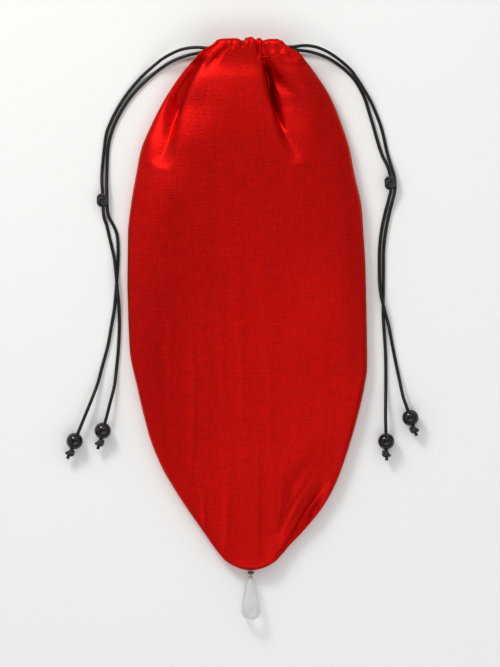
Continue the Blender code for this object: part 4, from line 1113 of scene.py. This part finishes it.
class KINCHAKU_OT_stage(bpy.types.Operator):
    """Add the pale floor, the soft lamps and the camera that looks straight down"""

    bl_idname = "kinchaku.stage"
    bl_label = "Stage"

    def execute(self, context):
        stage = context.scene.pouch_stage
        scene = context.scene
        scene.view_settings.view_transform = "Standard"
        place = (*PHOTO_MIDDLE, stage.camera_height)
        camera = added(bpy.ops.object.camera_add, location=place, rotation=(0, 0, 0))
        camera.name = "camera_above"
        lens = camera.data
        lens.sensor_fit = "VERTICAL"
        lens.sensor_height = SENSOR_HEIGHT
        lens.lens = SENSOR_HEIGHT * (stage.camera_height - PIXEL_LEVEL) / (PHOTO_HEIGHT * PIXEL)
        scene.camera = camera

        floor = added(bpy.ops.mesh.primitive_plane_add, size=FLOOR_SIZE)
        floor.name = "floor"
        floor.data.materials.append(paper_finish(stage))

        for name, (place, size, power, tint) in LAMPS.items():
            self.lamp(name, place, size, getattr(stage, power), tint)

        dome = Finish(bpy.data.worlds.new("studio_dome"))
        scene.world = dome.owner
        direction = dome.node("TexCoord")
        skyward = dome.node("SeparateXYZ", None, {0: direction}, out=2)
        towards = dome.node("VectorMath", {"operation": "DOT_PRODUCT"}, {0: direction, 1: BRIGHT_SIDE}, out=1)
        over = dome.ramp(skyward, *DOME)
        level = dome.mix(1.0, over, dome.ramp(towards * 0.5 + 0.5, *SIDE_LIGHT), "MULTIPLY")
        light = dome.mix(1.0, level, colour(DOME_TINT), "MULTIPLY")
        dome.join(dome.node("Background", None, {"Color": light, "Strength": stage.sky}), "OutputWorld")
        return {"FINISHED"}

    def lamp(self, name, place, size, power, tint):
        """A round soft lamp that faces the middle of the pouch."""
        lamp = added(bpy.ops.object.light_add, type="AREA", location=place)
        lamp.name = name
        lamp.rotation_euler = Vector(place).to_track_quat("Z", "Y").to_euler()
        lamp.data.shape = "DISK"
        lamp.data.size = size
        lamp.data.energy = power
        lamp.data.color = tint


class KINCHAKU_OT_cords(bpy.types.Operator):
    """Lay the four free ends of the two leather cords"""

    bl_idname = "kinchaku.cords"
    bl_label = "Cords"

    def execute(self, context):
        cord = context.scene.pouch_cord
        leather = leather_finish(cord)
        for name, (points, _) in CORDS.items():
            path = spaced(route(points), cord.diameter)
            back = (path[0] - path[1]) / np.linalg.norm(path[0] - path[1])
            path = np.vstack((path[0] + back * CORD_OVERLAP, path))
            obj = tube([path], cord.diameter / 2)
            settle(obj, "leather_" + name, "bag", leather, name)
        for name in ("left_cord_in_channel", "right_cord_in_channel"):
            node = frame["nodes"][name]
            node.data.materials.clear()
            node.data.materials.append(leather)
        return {"FINISHED"}


class KINCHAKU_OT_knots(bpy.types.Operator):
    """Tie the knot that holds each pair of cords, and the stopper knot on each end"""

    bl_idname = "kinchaku.knots"
    bl_label = "Knots"

    def execute(self, context):
        cord = context.scene.pouch_cord
        leather = bpy.data.materials["black_leather"]
        radius = cord.diameter / 2
        for side, ends in KNOT_PLACES.items():
            start, end = (Vector(p) * MM for p in ends)
            path = overhand(*TIED_KNOT, (0, -TIED_REACH, 0), (0, TIED_REACH, 0))
            pair = apart(spaced(route(path, 1), TIED_STEP), PAIR_APART * radius)
            place = frame_along(start, end)
            obj = tube([placed(strand, place) for strand in pair], radius * PAIR_THICKNESS, 3)
            settle(obj, f"{side}_tied_knot", "bag", leather, f"{side}_knot")
        for name, (points, _) in CORDS.items():
            before, tip = (Vector(p) * MM for p in points[-2:])
            travel = (tip - before).normalized()
            middle = tip - travel * (STOPPER_TAIL + STOPPER_LENGTH / 2)
            path = spaced(route(overhand(*STOPPER_KNOT, STOPPER_START, STOPPER_END), 1), STOPPER_STEP)
            if name.startswith("left"):
                path = path * (-1, 1, 1)
            place = frame_along(middle - travel * MM, middle + travel * MM)
            obj = tube([placed(path, place)], radius * STOPPER_THICKNESS, 3)
            node = name.replace("cord", "end_knot")
            settle(obj, "tied_" + node, "bag", leather, node)
        return {"FINISHED"}


class KINCHAKU_OT_beads(bpy.types.Operator):
    """Turn the four round beads, drill them and thread them on the cords"""

    bl_idname = "kinchaku.beads"
    bl_label = "Beads"

    def execute(self, context):
        beads = context.scene.pouch_beads
        bore = context.scene.pouch_cord.diameter / 2 + CORD_CLEARANCE
        stone = stone_finish(beads)
        for name, (points, _) in CORDS.items():
            node = name.replace("cord", "bead")
            low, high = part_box(node)
            before, tip = (Vector(p) for p in points[-2:])
            obj = drilled_ball(beads.diameter / 2, bore, (low + high) / 2, tip - before)
            body = "bead_" + node.replace("_bead", "")
            settle(obj, "round_" + node, body, stone, node)
        return {"FINISHED"}


def drilled_ball(radius, bore, place, axis):
    """A ball with a bore along its axis and a softly broken rim round each of its mouths."""
    bead = ball(BEAD_STEPS, radius)
    drill_out(bead, BEAD_DRILL_STEPS, bore, 3 * radius)
    bevel(bead, BEAD_BEVEL, 3, 35)
    smooth(bead, 35)
    bead.rotation_mode = "QUATERNION"
    bead.rotation_quaternion = Vector((0, 0, 1)).rotation_difference(axis.normalized())
    bead.location = place
    return bead


class KINCHAKU_OT_bag(bpy.types.Operator):
    """Lay the front and the back sheet of satin with their folds, gathers and turned channels"""

    bl_idname = "kinchaku.bag"
    bl_label = "Bag"

    def execute(self, context):
        satin = satin_finish(context.scene.pouch_satin)
        sheets = (("satin_front", "front_panel", FRONT_GRID, front_height, front_channel, True),
                  ("satin_back", "back_panel", BACK_GRID, back_height, back_channel, False))
        for name, node, grid, height, channel, outside_up in sheets:
            obj, flat = lay_sheet(grid, height, channel, outside_up)
            area = self.flat_area(obj)
            apply_modifier(obj, "SOLIDIFY", thickness=CLOTH, offset=-1)
            activate(obj)
            bpy.ops.object.shade_smooth()
            settle(obj, name, "bag", satin, node)
        return {"FINISHED"}

    def flat_area(self, obj):
        """Area of the sheet as it was cut, from its flat map."""
        places = np.zeros(len(obj.data.loops) * 2)
        obj.data.uv_layers["flat_cloth"].data.foreach_get("uv", places)
        a, b, c, d = np.moveaxis(places.reshape(-1, 4, 2), 1, 0)
        cross = (c - a)[:, 0] * (d - b)[:, 1] - (c - a)[:, 1] * (d - b)[:, 0]
        return float(np.abs(cross).sum() / 2)


def drop_radius(share):
    """The drop's radius at a share of its length from its tip to its round end."""
    rest = max(0, share - DROP_FULLEST) / (1 - DROP_FULLEST)
    tip = math.sqrt(min(1, share / DROP_TIP_ROUND))
    taper = float(smooth_value(DROP_TAPER, share / DROP_FULLEST))
    return DROP_DIAMETER / 2 * taper * tip * math.sqrt(1 - rest**2)


class KINCHAKU_OT_drop(bpy.types.Operator):
    """Hang the glass drop with its spacer bead and its twisted thread"""

    bl_idname = "kinchaku.drop"
    bl_label = "Drop"

    def execute(self, context):
        drop = context.scene.pouch_drop
        self.spacer(red_glass_finish(drop))
        self.glass(clear_glass_finish(drop))
        self.thread(thread_finish(drop))
        return {"FINISHED"}

    def spacer(self, material):
        """A faceted flat bead between the bag and the drop."""
        low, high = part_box("tip_bead")
        length = high.y - low.y
        radius = (high.z - low.z) / 2
        bead = ball(SPACER_STEPS, radius)
        bead.scale = (1, 1, 0.5 * length / radius)
        activate(bead)
        bpy.ops.object.transform_apply(location=False, rotation=False, scale=True)
        drill_out(bead, DROP_DRILL_STEPS, THREAD_DIAMETER + THREAD_CLEARANCE, 3 * length)
        bevel(bead, SPACER_BEVEL, 2, 12)
        bead.rotation_euler = (math.pi / 2, 0, 0)
        bead.location = (low + high) / 2
        settle(bead, "faceted_spacer", "spacer", material, "tip_bead")

    def glass(self, material):
        """A long smooth drop that is round at its foot and drilled at its tip."""
        obj = ball(DROP_STEPS, 1)
        for vertex in obj.data.vertices:
            share = (vertex.co.z + 1) / 2
            out = math.hypot(vertex.co.x, vertex.co.y)
            widen = drop_radius(share) / out if out > 1e-5 else 0
            vertex.co = (vertex.co.x * widen, vertex.co.y * widen, share * DROP_LENGTH)
        lift = DROP_DIAMETER / 2 + TABLE_CLEARANCE - SEAM_HEIGHT
        axis = Vector((0, -math.sqrt((DROP_FULLEST * DROP_LENGTH) ** 2 - lift**2), lift)).normalized()
        obj.rotation_mode = "QUATERNION"
        obj.rotation_quaternion = Vector((0, 0, 1)).rotation_difference(axis)
        obj.location = DROP_HOLE - axis * DROP_HOLE_DEPTH
        activate(obj)
        bpy.ops.object.transform_apply(location=True, rotation=True, scale=True)
        bore = THREAD_DIAMETER / 2 + DROP_HOLE_CLEARANCE
        drill_out(obj, DROP_DRILL_STEPS, bore, DROP_DIAMETER, DROP_HOLE)
        smooth(obj, 45)
        settle(obj, "blown_drop", "drop", material, "glass_drop")

    def thread(self, material):
        """Two plies twisted along the loop that runs through the spacer and the drop."""
        low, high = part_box("tip_bead")
        strand = THREAD_DIAMETER * STRAND_APART
        over = drop_radius(DROP_HOLE_DEPTH / DROP_LENGTH) + THREAD_DIAMETER / 2 + THREAD_CLEARANCE
        top = high.y
        upper = [(top, strand), ((top + low.y) / 2, strand), (low.y, strand * STRAND_SPREAD)]
        x, start, level = DROP_HOLE
        upper += [(start + share * (low.y - start), height * over) for share, height in THREAD_LOOP]
        middle = (low.z + high.z) / 2
        loop = [(x, y, level + (middle - level) * (y - start) / (top - start) + z) for y, z in upper]
        loop += [(x, y, z - 2 * h) for (x, y, z), (_, h) in zip(loop[::-1], upper[::-1])]
        path = spaced(route(loop, 1), PLY_STEP * MM)
        aside = np.array((1.0, 0, 0))
        above = np.cross(directions(path), aside)
        twist = np.arange(len(path)) * PLY_STEP * 2 * math.pi / PLY_TURN
        plies = []
        for phase in (0, math.pi):
            around = np.cos(twist + phase)[:, None] * aside + np.sin(twist + phase)[:, None] * above
            plies.append(path + around * PLY_OUT * MM)
        obj = tube(plies, PLY_RADIUS * MM, 2)
        settle(obj, "twisted_thread", "bag", material, "drop_thread")


class KINCHAKU_OT_declare_cords(bpy.types.Operator):
    """Work out the points along each free cord's route, and keep none of them"""

    bl_idname = "kinchaku.declare_cords"
    bl_label = "Cord Lengths"

    def execute(self, context):
        diameter = context.scene.pouch_cord.diameter
        for name, (points, length) in CORDS.items():
            [tuple(p) for p in spaced(route(points), diameter)]
        return {"FINISHED"}


OPERATORS = (KINCHAKU_OT_stage, KINCHAKU_OT_cords, KINCHAKU_OT_knots, KINCHAKU_OT_beads,
             KINCHAKU_OT_declare_cords, KINCHAKU_OT_bag, KINCHAKU_OT_drop)


class KINCHAKU_PT_panel(bpy.types.Panel):
    """Pieces of the pouch and the sizes and colours that they take"""

    bl_idname = "KINCHAKU_PT_panel"
    bl_label = "Kinchaku Pouch"
    bl_space_type = "VIEW_3D"
    bl_region_type = "UI"
    bl_category = "Kinchaku"

    def draw(self, context):
        for operator in OPERATORS:
            self.layout.operator(operator.bl_idname)
        for name in GROUPS:
            box = self.layout.box()
            group = getattr(context.scene, name)
            for entry in group.bl_rna.properties:
                if entry.identifier not in ("rna_type", "name"):
                    box.prop(group, entry.identifier)


GROUPS = {
    "pouch_satin": PouchSatin,
    "pouch_cord": PouchCord,
    "pouch_beads": PouchBeads,
    "pouch_drop": PouchDrop,
    "pouch_stage": PouchStage,
}


def register():
    for made in (*GROUPS.values(), *OPERATORS, KINCHAKU_PT_panel):
        bpy.utils.register_class(made)
    for name, group in GROUPS.items():
        setattr(bpy.types.Scene, name, bpy.props.PointerProperty(type=group))


def unregister():
    for name in GROUPS:
        delattr(bpy.types.Scene, name)
    for made in (KINCHAKU_PT_panel, *OPERATORS[::-1], *reversed(GROUPS.values())):
        bpy.utils.unregister_class(made)


def main():
    register()
    bpy.ops.kinchaku.stage()
    bpy.ops.kinchaku.cords()
    bpy.ops.kinchaku.knots()
    bpy.ops.kinchaku.beads()
    bpy.ops.kinchaku.declare_cords()
    bpy.ops.kinchaku.bag()
    bpy.ops.kinchaku.drop()


if __name__ == "__main__":
    main()
